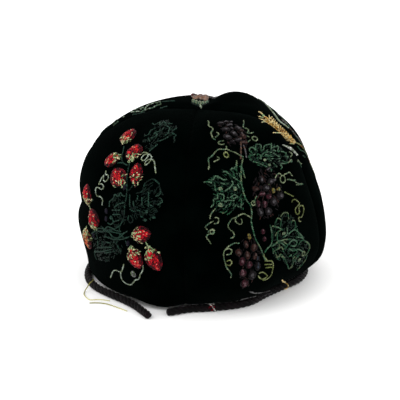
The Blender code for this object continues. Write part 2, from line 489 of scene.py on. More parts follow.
def resample(marks: Array, step: float, smooth: bool = True) -> Array:
    """Evenly spaced points on a line through marks.

    Args:
        marks: (M, D) points.
        step: wanted spacing, in the marks' unit.
        smooth: bends the line softly through the marks; otherwise it has straight runs.

    Returns:
        (N, D) points, both ends kept.
    """
    marks = np.asarray(marks, float)
    along = np.concatenate([[0.0], np.cumsum(np.linalg.norm(np.diff(marks, axis=0), axis=1))])
    where = np.linspace(0.0, along[-1], max(2, round(along[-1] / step) + 1))
    if smooth and len(marks) > 2:
        return np.stack([smooth_rows(where, along, column) for column in marks.T], axis=-1)
    return np.stack([np.interp(where, along, column) for column in marks.T], axis=-1)


def unit(vectors: Array) -> Array:
    """The vectors along the last axis, each divided by its length."""
    return vectors / np.maximum(np.linalg.norm(vectors, axis=-1, keepdims=True), TINY)


def left_of(ahead: Array) -> Array:
    """Vectors of the chart turned a quarter to the left: (x, y) becomes (-y, x)."""
    return np.stack([-ahead[..., 1], ahead[..., 0]], axis=-1)


def heading(angle: Array) -> Array:
    """Unit vectors (cos(angle), sin(angle)) of the chart, for angles in radians."""
    return np.stack([np.cos(angle), np.sin(angle)], axis=-1)


def turn_from(azimuth: Array, start: float) -> Array:
    """Degrees from start to azimuth, from -180 to 180."""
    return (azimuth - start + 180.0) % 360.0 - 180.0


# The crown.


class Section(NamedTuple):
    """One level of the crown's profile, in millimetres; lean moves it right of the apex."""

    height: float
    radius: float
    lean: float


class HemPoint(NamedTuple):
    """The hem at one azimuth: its radius, and how far it sags where its cord came away."""

    azimuth: float
    radius: float
    sag: float


class Gore(NamedTuple):
    """One velvet gore, from its first seam, with how far its middle swells out."""

    node: str
    seam: float
    puff: float


class Swell(NamedTuple):
    """A soft swelling of the crown, or a dent where its height is negative."""

    azimuth: float
    share: float
    height: float
    half_angle: float
    half_share: float


@dataclass(frozen=True)
class CrownForm:
    """The crown's outer surface as a function of azimuth (degrees) and share of the profile."""

    axis_x: float = -5.0
    axis_y: float = 0.0
    wall: float = 2.4
    oval: float = 0.035
    hem_reach: float = 0.18
    groove: float = 2.6
    groove_width: float = 8.0
    pucker: float = 0.16
    pucker_width: float = 7.0
    relief_reach: float = 0.06
    apex_reach: float = 0.004
    sections: tuple[Section, ...] = (
        Section(6.8, 94.0, 2.0),
        Section(19.0, 101.0, 7.0),
        Section(35.0, 104.5, 6.5),
        Section(53.0, 105.5, 4.0),
        Section(73.0, 102.5, 2.5),
        Section(93.0, 98.5, 0.0),
        Section(111.0, 92.0, 0.0),
        Section(127.0, 80.0, 1.5),
        Section(139.0, 66.0, 4.5),
        Section(147.5, 48.0, 6.0),
        Section(151.5, 0.0, 0.0),
    )
    hem: tuple[HemPoint, ...] = (
        HemPoint(-96.0, 94.5, 0.0),
        HemPoint(-72.0, 91.5, 0.0),
        HemPoint(-50.0, 90.0, 0.0),
        HemPoint(-38.0, 88.8, 0.0),
        HemPoint(-31.0, 88.2, 1.6),
        HemPoint(-24.0, 87.6, 3.4),
        HemPoint(-17.0, 86.8, 3.4),
        HemPoint(-10.0, 85.6, 1.2),
        HemPoint(-4.0, 84.8, 0.0),
        HemPoint(10.0, 84.0, 0.0),
        HemPoint(30.0, 85.0, 0.0),
        HemPoint(48.0, 80.5, 0.0),
        HemPoint(62.0, 83.0, 0.0),
        HemPoint(76.0, 91.0, 0.0),
        HemPoint(88.0, 94.5, 0.0),
        HemPoint(108.0, 92.0, 0.0),
        HemPoint(135.0, 87.0, 0.0),
        HemPoint(158.0, 88.0, 0.0),
        HemPoint(200.0, 87.0, 0.0),
        HemPoint(232.0, 90.0, 0.0),
    )
    gores: tuple[Gore, ...] = (
        Gore("velvet_panel_strawberry", -96.0, 1.5),
        Gore("velvet_panel_grape", -6.0, 1.5),
        Gore("velvet_panel_wheat", 74.0, 2.5),
        Gore("velvet_panel_rose", 158.0, 1.0),
    )
    swells: tuple[Swell, ...] = (
        Swell(131.0, 0.79, 5.0, 23.0, 0.11),
        Swell(106.0, 0.70, -2.0, 18.0, 0.07),
        Swell(-92.0, 0.31, -2.6, 18.0, 0.035),
        Swell(92.0, 0.46, -2.0, 18.0, 0.08),
        Swell(48.0, 0.14, -1.5, 16.0, 0.06),
    )

    def column(self, name: str) -> Array:
        """One column of the profile's table."""
        return np.array([getattr(section, name) for section in self.sections])

    def steps(self) -> Array:
        """Length of the profile from each section to the next, in millimetres."""
        return np.hypot(np.diff(self.column("radius")), np.diff(self.column("height")))

    def length(self) -> float:
        """Length of the profile from hem to apex, in millimetres."""
        return float(self.steps().sum())

    def shares(self) -> Array:
        """Share of the profile's length at each section."""
        steps = self.steps()
        return np.concatenate([[0.0], np.cumsum(steps)]) / steps.sum()

    def seams(self) -> list[float]:
        """Azimuths of the seams in order, with the first one again a full turn on."""
        return [gore.seam for gore in self.gores] + [self.gores[0].seam + 360.0]

    def radius(self, share: Array) -> Array:
        """Radius of the profile's table at any share, in millimetres."""
        return smooth_rows(share, self.shares(), self.column("radius"))

    def hem_value(self, azimuth: Array, column: str) -> Array:
        """One column of the hem's table at any azimuth, smooth all the way round.

        Args:
            azimuth: degrees.
            column: radius or sag.

        Returns:
            The value, in millimetres.
        """
        around = [point.azimuth for point in self.hem]
        values = [getattr(point, column) for point in self.hem]
        stations = [a - 360.0 for a in around[-2:]] + around + [a + 360.0 for a in around[:2]]
        inside = (np.asarray(azimuth, float) - around[0]) % 360.0 + around[0]
        return smooth_rows(inside, stations, values[-2:] + values + values[:2])

    def seam_distance(self, azimuth: Array) -> Array:
        """Degrees from each azimuth to the nearest seam."""
        return np.min([np.abs(turn_from(azimuth, gore.seam)) for gore in self.gores], axis=0)

    def relief(self, azimuth: Array, share: Array, plan: Array) -> Array:
        """How far the surface stands off the plain profile, in millimetres.

        The sum of a groove -g exp(-(arc/w)^2) along each seam, each gore's swelling
        p sin(pi across) sin(pi share)^2, the swells and dents h exp(-a^2 - b^2), and the fine
        puckers that the seam's stitches draw in the velvet.

        Args:
            azimuth: degrees.
            share: share of the profile.
            plan: distance from the axis, in millimetres.

        Returns:
            The relief, outwards.
        """
        arc = plan * np.radians(np.minimum(self.seam_distance(azimuth), 90.0))
        total = -self.groove * np.exp(-((arc / self.groove_width) ** 2))
        seams = self.seams()
        inside = (azimuth - seams[0]) % 360.0 + seams[0]
        arch = np.sin(np.pi * np.clip(share, 0, 1)) ** 2
        for gore, start, end in zip(self.gores, seams, seams[1:]):
            across = np.clip((inside - start) / (end - start), 0.0, 1.0)
            total = total + gore.puff * np.sin(np.pi * across) * arch
        for swell in self.swells:
            around = turn_from(azimuth, swell.azimuth) / swell.half_angle
            along = (share - swell.share) / swell.half_share
            total = total + swell.height * np.exp(-(around**2) - along**2)
        height = share * self.length()
        beat = np.sin(height * 1.05 + 1.7 * np.sin(height * 0.11)) * np.sin(height * 0.37 + 0.6)
        return total + self.pucker * beat * np.exp(-((arc / self.pucker_width) ** 2))

    def stand(self, azimuth: Array, plan: Array, height: Array) -> Array:
        """Places points about the crown's axis.

        x = axis + plan sin(azimuth), and y = axis - plan cos(azimuth).

        Args:
            azimuth: degrees, 0 at the front and 90 at +X.
            plan: distance from the axis, in millimetres.
            height: height over the floor, in millimetres.

        Returns:
            (..., 3) points in millimetres.
        """
        turn = np.radians(azimuth)
        x, y = self.axis_x + plan * np.sin(turn), self.axis_y - plan * np.cos(turn)
        return np.stack([x, y, height], axis=-1)

    def point(self, azimuth: Array, share: Array, inset: float = 0.0) -> Array:
        """Places points of the crown.

        Their distance from the axis is the profile's radius, flattened front to back, leaned,
        and drawn to the hem's own outline low down.  The relief then moves them along the
        profile's normal.

        Args:
            azimuth: degrees, 0 at the front and 90 at +X.
            share: share of the profile, 0 at the hem and 1 at the apex.
            inset: how far inside the outer surface, in millimetres.

        Returns:
            (..., 3) points in millimetres.
        """
        azimuth, share = np.broadcast_arrays(np.asarray(azimuth, float), np.asarray(share, float))
        shares = self.shares()
        radii, heights = self.column("radius"), self.column("height")
        radius = smooth_rows(share, shares, radii)
        height = smooth_rows(share, shares, heights)
        lean = smooth_rows(share, shares, self.column("lean"))
        ahead, behind = np.clip(share + 0.01, 0, 1), np.clip(share - 0.01, 0, 1)
        rise = smooth_rows(ahead, shares, heights) - smooth_rows(behind, shares, heights)
        run = smooth_rows(ahead, shares, radii) - smooth_rows(behind, shares, radii)
        slant = np.hypot(rise, run)
        out, up = rise / slant, -run / slant

        turn = np.radians(azimuth)
        above = np.clip(share / self.hem_reach, 0.0, 1.0)
        fade = (1.0 - above) ** 2 * (1.0 + 2.0 * above)
        flat = 1.0 - self.oval * np.cos(turn) ** 2
        plan = radius * flat + lean * np.sin(turn)
        low = self.sections[0].radius * flat + self.sections[0].lean * np.sin(turn)
        plan = plan + fade * (self.hem_value(azimuth, "radius") - low)
        height = height - fade * np.maximum(self.hem_value(azimuth, "sag"), 0.0)
        grown = np.clip(share / self.relief_reach, 0.0, 1.0)
        off = self.relief(azimuth, share, plan) * grown - inset
        plan = np.maximum(plan + out * off, 0.0)
        plan = plan * np.clip((1.0 - share) / self.apex_reach, 0.0, 1.0)
        return self.stand(azimuth, plan, height + up * off)

    def normal(self, azimuth: Array, share: Array) -> Array:
        """Outward unit normals, from the cross product of the two small steps on the surface.

        Args:
            azimuth: degrees.
            share: share of the profile.

        Returns:
            (..., 3) unit vectors.
        """
        here = self.point(azimuth, share)
        round_step = self.point(azimuth + 0.4, share) - here
        up_step = self.point(azimuth, np.clip(share + 0.004, 0, 1)) - here
        return unit(np.cross(round_step, up_step))


@dataclass
class VelvetCrown:
    """The four velvet gores, each a closed cloth wall with its edges drawn into the seams."""

    form: CrownForm
    velvet: bpy.types.Material
    lining: bpy.types.Material
    columns: int = 96
    rows: int = 136
    edge_roll: float = 1.3
    shut: float = 0.04
    edge_width: float = 1.6
    hem_roll: float = 0.9

    def gore(self, name: str, start: float, end: float) -> bpy.types.Object:
        """Builds one gore.

        Outer and inner grids run from seam to seam and hem to apex, closer together near both.
        At distance d from a seam the outer surface rolls in by edge_roll exp(-(d / edge_width)^2),
        and over the hem by hem_roll exp(-(d / edge_width)^2).

        Args:
            name: name of the piece.
            start: azimuth of its first seam.
            end: azimuth of its second seam.

        Returns:
            The piece.
        """
        across = 0.5 - 0.5 * np.cos(np.linspace(0, np.pi, self.columns))
        across = 0.55 * across + 0.45 * np.linspace(0, 1, self.columns)
        share = np.linspace(0.0, 1.0, self.rows) ** 0.97
        plan = np.maximum(self.form.radius(share), 1.0)
        margin = np.degrees(self.shut / 2 / plan)
        azimuth = (start + margin)[:, None] + (end - start - 2 * margin)[:, None] * across[None, :]
        share_grid = np.repeat(share[:, None], self.columns, axis=1)
        outer = self.form.point(azimuth, share_grid)
        normal = self.form.normal(azimuth, np.minimum(share_grid, TOP_SHARE))
        arc = plan[:, None] * np.radians(self.form.seam_distance(azimuth))
        roll = self.edge_roll * np.exp(-((arc / self.edge_width) ** 2))
        above = share_grid * self.form.length()
        hem_roll = self.hem_roll * np.exp(-((above / self.edge_width) ** 2))
        outer = outer - normal * (roll + hem_roll)[..., None]
        inner = self.form.point(azimuth, share_grid, inset=self.form.wall)
        apex = share_grid[..., None] > 0.9999
        outer = np.where(apex, outer[-1].mean(axis=0), outer)
        inner = np.where(apex, inner[-1].mean(axis=0), inner)
        count = self.rows * self.columns
        skin = grid_faces(self.rows, self.columns)
        inside = skin[:, ::-1] + count
        index = np.arange(count).reshape(self.rows, self.columns)
        edges = (index[0], index[::-1, 0], index[:, -1], index[-1, ::-1])
        strips = [
            np.stack([line[:-1], line[:-1] + count, line[1:] + count, line[1:]], axis=-1)
            for line in edges
        ]
        points = np.concatenate([outer.reshape(-1, 3), inner.reshape(-1, 3)]) * MM
        piece = make_piece(name, points, [skin, inside, *strips], self.velvet)
        piece.data.materials.append(self.lining)
        slots = np.zeros(len(piece.data.polygons), np.int32)
        slots[len(skin) : 2 * len(skin)] = 1
        piece.data.polygons.foreach_set("material_index", slots)
        return piece

    def build(self) -> list[bpy.types.Object]:
        """Builds all four gores, each in place of its plain CAD node."""
        seams = self.form.seams()
        made = []
        for gore, start, end in zip(self.form.gores, seams, seams[1:]):
            piece = self.gore(gore.node.replace("velvet_panel", "velvet_gore"), start, end)
            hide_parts(gore.node)
            made.append(piece)
        return made


# Stitches.

STITCH_RINGS = 4
STITCH_SIDES = 5
RING_WIDTHS = np.array([[0.5, 1.0, 1.0, 0.5]])
RING_RISES = np.array([[0.35, 1.0, 1.0, 0.35]])
RING_SHADES = np.array([0.16, 1.0, 1.0, 0.16])
SIDE_SHADES = np.array([0.08, 0.6, 1.0, 0.6, 0.08])
FEET = np.array([-0.25, 0.0, 0.0, 0.0, -0.25])
STATIONS = np.array([0.0, 0.2, 0.8, 1.0])
LAPPED_STATIONS = np.array([-0.04, 0.2, 0.8, 1.04])
KNOT_STATIONS = np.array([-1.0, -0.6, 0.6, 1.0])
LINE_STEP = 0.35
STEM_SLANT = 0.62
STEM_RISE = 0.62
STEM_JITTER = 0.06
FULLNESS = 0.62
PAD_ROUND = 0.92
ToneRule = Callable[[Array, Array, np.random.Generator], Array]


def draw_tones(tones: tuple[Tone, ...], count: int, rng: np.random.Generator) -> Array:
    """Colours for count stitches, drawn evenly from some tones."""
    return np.array([tone.light() for tone in tones])[rng.integers(0, len(tones), count)]


def half_width(t: Array, width: float, blunt: float, least: float = 0.0) -> Array:
    """Half width of a padded shape at share t: width / 2 times sin(pi t^blunt)^FULLNESS."""
    return width / 2 * np.maximum(np.sin(np.pi * t**blunt), least) ** FULLNESS


def pad_height(t: Array, q: Array, pad: float) -> Array:
    """Height of the padding: pad sqrt(1 - PAD_ROUND q^2) sqrt(4 t (1 - t)), at share q across."""
    return pad * np.sqrt(1 - PAD_ROUND * q**2) * np.sqrt(4 * t * (1 - t))


@dataclass
class Sampler:
    """Stitches sewn on one gore, kept as arrays until they become one mesh."""

    name: str
    form: CrownForm | CordSkin
    meridian: float
    seed: int
    lines: list[Array] = field(default_factory=list)
    widths: list[Array] = field(default_factory=list)
    rises: list[Array] = field(default_factory=list)
    lifts: list[Array] = field(default_factory=list)
    tones: list[Array] = field(default_factory=list)

    def __post_init__(self) -> None:
        """Starts the sampler's own seeded generator."""
        self.rng = np.random.default_rng(self.seed)

    def place(self, chart: Array) -> tuple[Array, Array]:
        """Azimuth and share of chart points: meridian + x / radius, and y / length."""
        share = np.clip(chart[..., 1] / self.form.length(), 0.0, TOP_SHARE)
        plan = np.maximum(self.form.radius(share), 1.0)
        return self.meridian + np.degrees(chart[..., 0] / plan), share

    def vary(self, tone: Array) -> Array:
        """Makes each stitch a little lighter or darker than its thread."""
        return tone * (1.0 + TONE_SPREAD * self.rng.uniform(-1, 1, (len(tone), 1)))

    def pick(self, count: int, tones: tuple[Tone, ...]) -> Array:
        """Colours for count stitches, drawn evenly from some tones."""
        return draw_tones(tones, count, self.rng)

    def add(
        self,
        line: Array,
        width: Array | float,
        rise: Array | float,
        lift: Array | float,
        tone: Array,
    ) -> None:
        """Keeps some stitches.

        Args:
            line: (N, 4, 2) chart points along each stitch.
            width: (N,) full widths, in millimetres, or one for all.
            rise: (N,) heights above the lift, in millimetres, or one for all.
            lift: (N, 4) height of the ground under each point, or one for all.
            tone: (N, 3) linear colours.
        """
        self.lines.append(line)
        self.widths.append(np.broadcast_to(width, len(line)))
        self.rises.append(np.broadcast_to(rise, len(line)))
        self.lifts.append(np.broadcast_to(lift, line.shape[:2]))
        self.tones.append(self.vary(tone))

    def straight(self, start: Array, end: Array, width: float, tone: Array, lift: float) -> None:
        """Straight stitches from start to end, (N, 2) each, in one width and on even ground."""
        share = STATIONS[None, :, None]
        line = start[:, None] * (1 - share) + end[:, None] * share
        self.add(line, width, 0.5 * width, lift, tone)

    def stem(
        self,
        marks: Chart2D | Array,
        tones: tuple[Tone, ...],
        width: float = 1.25,
        smooth: bool = True,
        stitch: float = 2.1,
    ) -> None:
        """Sews a line in stem stitch: short slanting stitches, each starting beside the last.

        Args:
            marks: the line's chart points.
            tones: its threads.
            width: thickness of the thread, in millimetres.
            smooth: bends the line through its marks.
            stitch: length of a stitch, in millimetres.
        """
        line = resample(np.array(marks), LINE_STEP, smooth)
        side = unit(left_of(np.gradient(line, axis=0)))
        span = max(1, round(stitch / LINE_STEP))
        starts = np.arange(0, max(1, len(line) - span // 2), max(1, round(0.8 * span)))
        index = np.clip(starts[:, None] + STATIONS[None] * span, 0, len(line) - 1)
        low = np.floor(index).astype(int)
        high = np.minimum(low + 1, len(line) - 1)
        part = (index - low)[..., None]
        path = line[low] * (1 - part) + line[high] * part
        slant = (STATIONS - 0.5)[None, :, None] * STEM_SLANT * width
        path = path + side[low] * slant + self.rng.normal(0, STEM_JITTER, (len(starts), 1, 2))
        tone = self.pick(len(starts), tones)
        widths = width * self.rng.uniform(0.85, 1.12, len(starts))
        self.add(path, widths, STEM_RISE * widths, 0.0, tone)

    def satin(
        self,
        centre: tuple[float, float],
        turn: float,
        length: float,
        width: float,
        rule: ToneRule,
        blunt: float = 1.0,
        pad: float = 1.4,
        thread: float = 1.0,
        stitch: float = 3.6,
        ground: float = 0.0,
    ) -> None:
        """Covers a padded shape with satin stitches that run along it.

        Lanes of stitches lie side by side at shares q across, from -1 to 1.  half_width gives
        how wide the shape is at share t along it, and pad_height how high its padding stands.

        Args:
            centre: middle of the shape on the chart.
            turn: direction from its stalk to its tip, in degrees from +x.
            length: length of the shape.
            width: full width of the shape.
            rule: gives the colours for arrays of t and q.
            blunt: under 1 makes the stalk's end the fuller one.
            pad: height of the padding.
            thread: width of a stitch.
            stitch: rough length of a stitch.
            ground: height of what the padding lies on.
        """
        lanes = max(3, round(width / (0.78 * thread)))
        pieces = max(1, round(length / stitch))
        q = np.linspace(-1, 1, lanes) * (1 - 0.42 / lanes)
        shift = self.rng.uniform(-0.3, 0.3, lanes) / pieces
        cuts = np.linspace(0, 1, pieces + 1)[None] + shift[:, None] * (pieces > 1)
        start, end = 0.02 + 0.10 * np.abs(q) ** 3, 0.98 - 0.10 * np.abs(q) ** 3
        cuts = np.clip(cuts, start[:, None], end[:, None])
        cuts[:, 0], cuts[:, -1] = start, end
        first, last = cuts[:, :-1].ravel(), cuts[:, 1:].ravel()
        across = np.repeat(q, pieces)
        t = np.clip(first[:, None] + (last - first)[:, None] * LAPPED_STATIONS[None], 0.004, 0.996)
        along, aside = (t - 0.5) * length, half_width(t, width, blunt) * across[:, None]
        angle = math.radians(turn)
        x = centre[0] + along * math.cos(angle) - aside * math.sin(angle)
        y = centre[1] + along * math.sin(angle) + aside * math.cos(angle)
        lift = pad_height(t, across[:, None], pad)
        tone = rule(t.mean(axis=1), across, self.rng)
        widths = thread * self.rng.uniform(0.92, 1.12, len(tone))
        self.add(np.stack([x, y], axis=-1), widths, 0.5 * widths, lift + ground - 0.1, tone)

    def mesh(self, material: bpy.types.Material) -> bpy.types.Object:
        """Makes all the stitches one mesh.

        A stitch has four rings of five points.  A ring's points stand at
        chart + side * cos(a) * width / 2, raised by lift + rise * sin(a), for a from 0 to 180
        degrees; its two feet sink a quarter of a millimetre into the velvet.  The tone darkens
        towards a stitch's feet and ends, where silk lies in its neighbours' shade.

        Args:
            material: the thread's finish.

        Returns:
            The piece.
        """
        line = np.concatenate(self.lines)
        width = np.concatenate(self.widths)[:, None] * RING_WIDTHS
        rise = np.concatenate(self.rises)[:, None] * RING_RISES
        lift = np.concatenate(self.lifts)
        tone = np.concatenate(self.tones)
        ahead = line[:, [1, 2, 3, 3]] - line[:, [0, 0, 1, 2]]
        side = unit(left_of(ahead))
        angle = np.radians(np.linspace(0, 180, STITCH_SIDES))
        spread = side[:, :, None] * (np.cos(angle)[None, None] * width[..., None])[..., None] / 2
        azimuth, share = self.place(line[:, :, None] + spread)
        ground = self.form.point(azimuth, share)
        centre_azimuth, centre_share = self.place(line)
        normal = self.form.normal(centre_azimuth, centre_share)[:, :, None]
        height = lift[..., None] + rise[..., None] * np.sin(angle) + FEET
        points = (ground + normal * height[..., None]) * MM
        count, ring = len(line), STITCH_SIDES
        first = np.arange(count)[:, None] * STITCH_RINGS * ring
        quads = grid_faces(STITCH_RINGS, ring, wrap=True)[None] + first[:, :, None]
        near = np.arange(ring)[None, ::-1] + first
        far = np.arange(ring)[None] + (STITCH_RINGS - 1) * ring + first
        run = np.linalg.norm(np.diff(line, axis=1), axis=-1)
        along = np.concatenate([np.zeros((count, 1)), np.cumsum(run, axis=1)], axis=1)
        along = np.repeat(along[..., None], ring, axis=-1)
        around = np.broadcast_to(np.linspace(0, 1, ring), along.shape)
        uv = np.stack([along, around], axis=-1).reshape(-1, 2)
        shade = RING_SHADES[:, None] * SIDE_SHADES
        tones = (tone[:, None, None] * shade[None, :, :, None]).reshape(-1, 3)
        return make_piece(
            self.name,
            points.reshape(-1, 3),
            [quads.reshape(-1, 4), near, far],
            material,
            uv,
            tones,
        )


@dataclass
class ApexSampler(Sampler):
    """Stitches charted about the apex: x to the right, y to the back, both in millimetres."""

    def place(self, chart: Array) -> tuple[Array, Array]:
        """Azimuth and share of chart points: atan2(x, -y), and 1 - distance / length."""
        off = np.hypot(chart[..., 0], chart[..., 1])
        share = np.clip(1.0 - off / self.form.length(), 0.0, TOP_SHARE)
        return np.degrees(np.arctan2(chart[..., 0], -chart[..., 1])), share


def inside_outline(spots: Array, edge: Array) -> NDArray[np.bool_]:
    """Tells which spots lie inside a closed outline, by counting the edges that a ray crosses.

    Args:
        spots: (N, 2) points.
        edge: (M, 2) corners.

    Returns:
        (N,) booleans.
    """
    after = np.roll(edge, -1, axis=0)
    x, y = spots[:, None, 0], spots[:, None, 1]
    spans = (edge[None, :, 1] > y) != (after[None, :, 1] > y)
    rise = after[:, 1] - edge[:, 1]
    rise = np.where(np.abs(rise) < TINY, TINY, rise)
    crossing = edge[:, 0] + (y - edge[:, 1]) * (after[:, 0] - edge[:, 0]) / rise
    return (np.sum(spans & (x < crossing), axis=1) % 2).astype(bool)


# Motifs.


class Ripeness(Enum):
    """How ripe a strawberry is sewn."""

    RED = "red"
    ORANGE = "orange"


class Berry(NamedTuple):
    """A strawberry: its middle, the way its tip points, and its size."""

    x: float
    y: float
    turn: float
    length: float
    width: float
    ripeness: Ripeness = Ripeness.RED
    sepals: float = 0.42


class Bead(NamedTuple):
    """A grape: its middle and its size."""

    x: float
    y: float
    width: float
    height: float


@dataclass(frozen=True)
class LeafLook:
    """How a leaf is sewn in open work: its threads, the scallops of its edge and its ribs."""

    rim: tuple[Tone, ...]
    rib: tuple[Tone, ...]
    pitch: float = 5.0
    bulge: float = 1.3
    gap: float = 3.4
    reach: float = 4.6
    lean: float = 52.0
    thread: float = 1.0


class Bed(NamedTuple):
    """Dim ground stitches of a leaf or a bunch: the point they fan out from, and their outline."""

    heart: tuple[float, float]
    edge: Chart2D


class Leaf(NamedTuple):
    """A leaf: its edge and its veins."""

    edge: Chart2D
    veins: tuple[Chart2D, ...]


def berry_rule(ripeness: Ripeness) -> ToneRule:
    """Colours of a strawberry's stitches: crimson and scarlet, with painted shade at the rim and
    the tip.
    """

    def rule(t: Array, q: Array, rng: np.random.Generator) -> Array:
        """Colours for share t from stalk to tip and share q across."""
        count = len(t)
        flesh = (Tone.CRIMSON, Tone.CRIMSON, Tone.SCARLET, Tone.CARMINE)
        if ripeness is Ripeness.ORANGE:
            flesh = (Tone.ORANGE, Tone.ORANGE, Tone.PEACH, Tone.SCARLET)
        body = draw_tones(flesh, count, rng)
        # Painted shade: wine and carmine stitches where the padding curves away, round the rim and
        # towards the tip.
        dark = np.where((rng.random(count) < 0.6)[:, None], Tone.WINE.light(), Tone.CARMINE.light())
        rim = 0.9 * q**2 + 1.5 * np.maximum(t - 0.45, 0.0) ** 2 + rng.normal(0, 0.06, count)
        return np.where((rim > 0.34)[:, None], dark, body)

    return rule


def bud_rule() -> ToneRule:
    """Colours of a half-open rosebud's petal: beige, then dusty rose at its tip."""

    def rule(t: Array, q: Array, rng: np.random.Generator) -> Array:
        """Colours for share t from foot to tip and share q across."""
        coin = (rng.random(len(t)) < 0.5)[:, None]
        foot = np.where(coin, Tone.BEIGE.light(), Tone.PEACH.light() * 0.42)
        top = np.where(coin, Tone.DUSTY_ROSE.light(), Tone.BEIGE.light())
        return np.where((t + rng.normal(0, 0.05, len(t)) < 0.45)[:, None], foot, top)

    return rule


def plain_rule(tones: tuple[Tone, ...]) -> ToneRule:
    """Colours drawn evenly from some tones."""

    def rule(t: Array, q: Array, rng: np.random.Generator) -> Array:
        """One colour for each stitch."""
        return draw_tones(tones, len(t), rng)

    return rule


def grape_rule(light: Tone, body: Tone, dark: Tone) -> ToneRule:
    """Colours of a grape: a painted highlight in the middle, its body tone, and painted shade at
    its rim.
    """

    def rule(t: Array, q: Array, rng: np.random.Generator) -> Array:
        """Painted highlight near the middle, painted shade at the edge."""
        off = np.hypot(q * 0.9, (t - 0.55) * 1.5) + rng.normal(0, 0.08, len(t))
        inner = np.where((off < 0.36)[:, None], light.light(), body.light())
        return np.where((off > 0.74)[:, None], dark.light(), inner)

    return rule


BERRY_PAD = 2.8
BERRY_BLUNT = 0.86
SEEDS = 16
SEPALS = 96
SEED_TONES = (Tone.ROSE_PINK, Tone.PEACH, Tone.CREAM, Tone.ROSE_PINK)
# Cream and pale green sepals, with wine and dark olive stitches among them as painted shade.
SEPAL_AND_SHADE_TONES = (
    Tone.CREAM, Tone.PALE_GREEN, Tone.MOSS, Tone.CREAM, Tone.WINE, Tone.OLIVE_BED,
    Tone.PALE_GREEN,
)


def sew_shape(sampler: Sampler, shape: Berry, rule: ToneRule, **looks: float) -> None:
    """Covers a shape that has a berry's sizes with satin stitches of the given looks."""
    sampler.satin((shape.x, shape.y), shape.turn, shape.length, shape.width, rule, **looks)


def sew_berry(sampler: Sampler, berry: Berry) -> None:
    """Sews a strawberry: padded satin, seeds as small knots, and sepals straggling over it.

    Args:
        sampler: the fruit's stitches.
        berry: the strawberry.
    """
    rng = sampler.rng
    middle = np.array([berry.x, berry.y])
    sew_shape(
        sampler, berry, berry_rule(berry.ripeness),
        blunt=BERRY_BLUNT, pad=BERRY_PAD, thread=0.9, stitch=2.6,
    )
    angle = math.radians(berry.turn)
    ahead = np.array([math.cos(angle), math.sin(angle)])
    aside = left_of(ahead)

    def spots_at(t: Array, q: Array, half: Array) -> Array:
        """Chart points at share t from stalk to tip and share q of the half width across."""
        return middle + ((t - 0.5) * berry.length)[:, None] * ahead + (q * half)[:, None] * aside

    def height(spots: Array) -> Array:
        """Height of the padding under chart points; nothing outside the berry."""
        off = spots - middle
        t = np.clip(off @ ahead / berry.length + 0.5, 0.0, 1.0)
        half = half_width(np.clip(t, 0.02, 0.98), berry.width, BERRY_BLUNT)
        q = np.clip((off @ aside) / half, -1.0, 1.0)
        return pad_height(t, q, BERRY_PAD) * (np.abs(q) < 1.0)

    t, q = rng.uniform(0.36, 0.84, SEEDS), rng.uniform(-0.7, 0.7, SEEDS)
    seeds = spots_at(t, q, half_width(t, berry.width, BERRY_BLUNT))
    line = seeds[:, None] + 0.55 * ahead * KNOT_STATIONS[None, :, None]
    pale = sampler.pick(SEEDS, SEED_TONES)
    tone = np.where((rng.random(SEEDS) < 0.34)[:, None], pale, Tone.SEED_DARK.light())
    sampler.add(line, 1.1, 0.4, height(line) + 0.25, tone)

    count = round(SEPALS * berry.sepals)
    t, q = berry.sepals * rng.random(count) ** 0.8 - 0.1, rng.uniform(-1.1, 1.1, count)
    root = spots_at(t, q, half_width(np.clip(t, 0.03, 1), berry.width, BERRY_BLUNT, least=0.12))
    way = angle + 0.9 * q + rng.normal(0, 0.5, count)
    step = heading(way) * rng.uniform(0.7, 1.4, (count, 1))
    line = root[:, None] + step[:, None] * KNOT_STATIONS[None, :, None]
    tones = sampler.pick(count, SEPAL_AND_SHADE_TONES)
    sampler.add(line, rng.uniform(0.75, 1.1, count), 0.45, height(line) + 0.25, tones)


def sew_bed(
    sampler: Sampler,
    heart: tuple[float, float],
    edge: Chart2D,
    tones: tuple[Tone, ...],
    gap: float = 2.1,
) -> None:
    """Fills an outline with short dim stitches that fan out from its heart.

    Args:
        sampler: takes the stitches.
        heart: the chart point that the stitches point away from.
        edge: corners of the outline.
        tones: the threads.
        gap: mean distance between stitches, in millimetres.
    """
    outline = np.array(edge, float)
    low, high = outline.min(axis=0), outline.max(axis=0)
    spots = sampler.rng.uniform(low, high, (int(np.prod(high - low) / gap**2), 2))
    spots = spots[inside_outline(spots, outline)]
    off = spots - np.array(heart)
    way = np.arctan2(off[:, 1], off[:, 0]) + sampler.rng.normal(0, 0.45, len(spots))
    reach = sampler.rng.uniform(0.9, 1.9, (len(spots), 1)) * heading(way)
    sampler.straight(spots - reach, spots + reach, 0.9, sampler.pick(len(spots), tones), lift=-0.15)


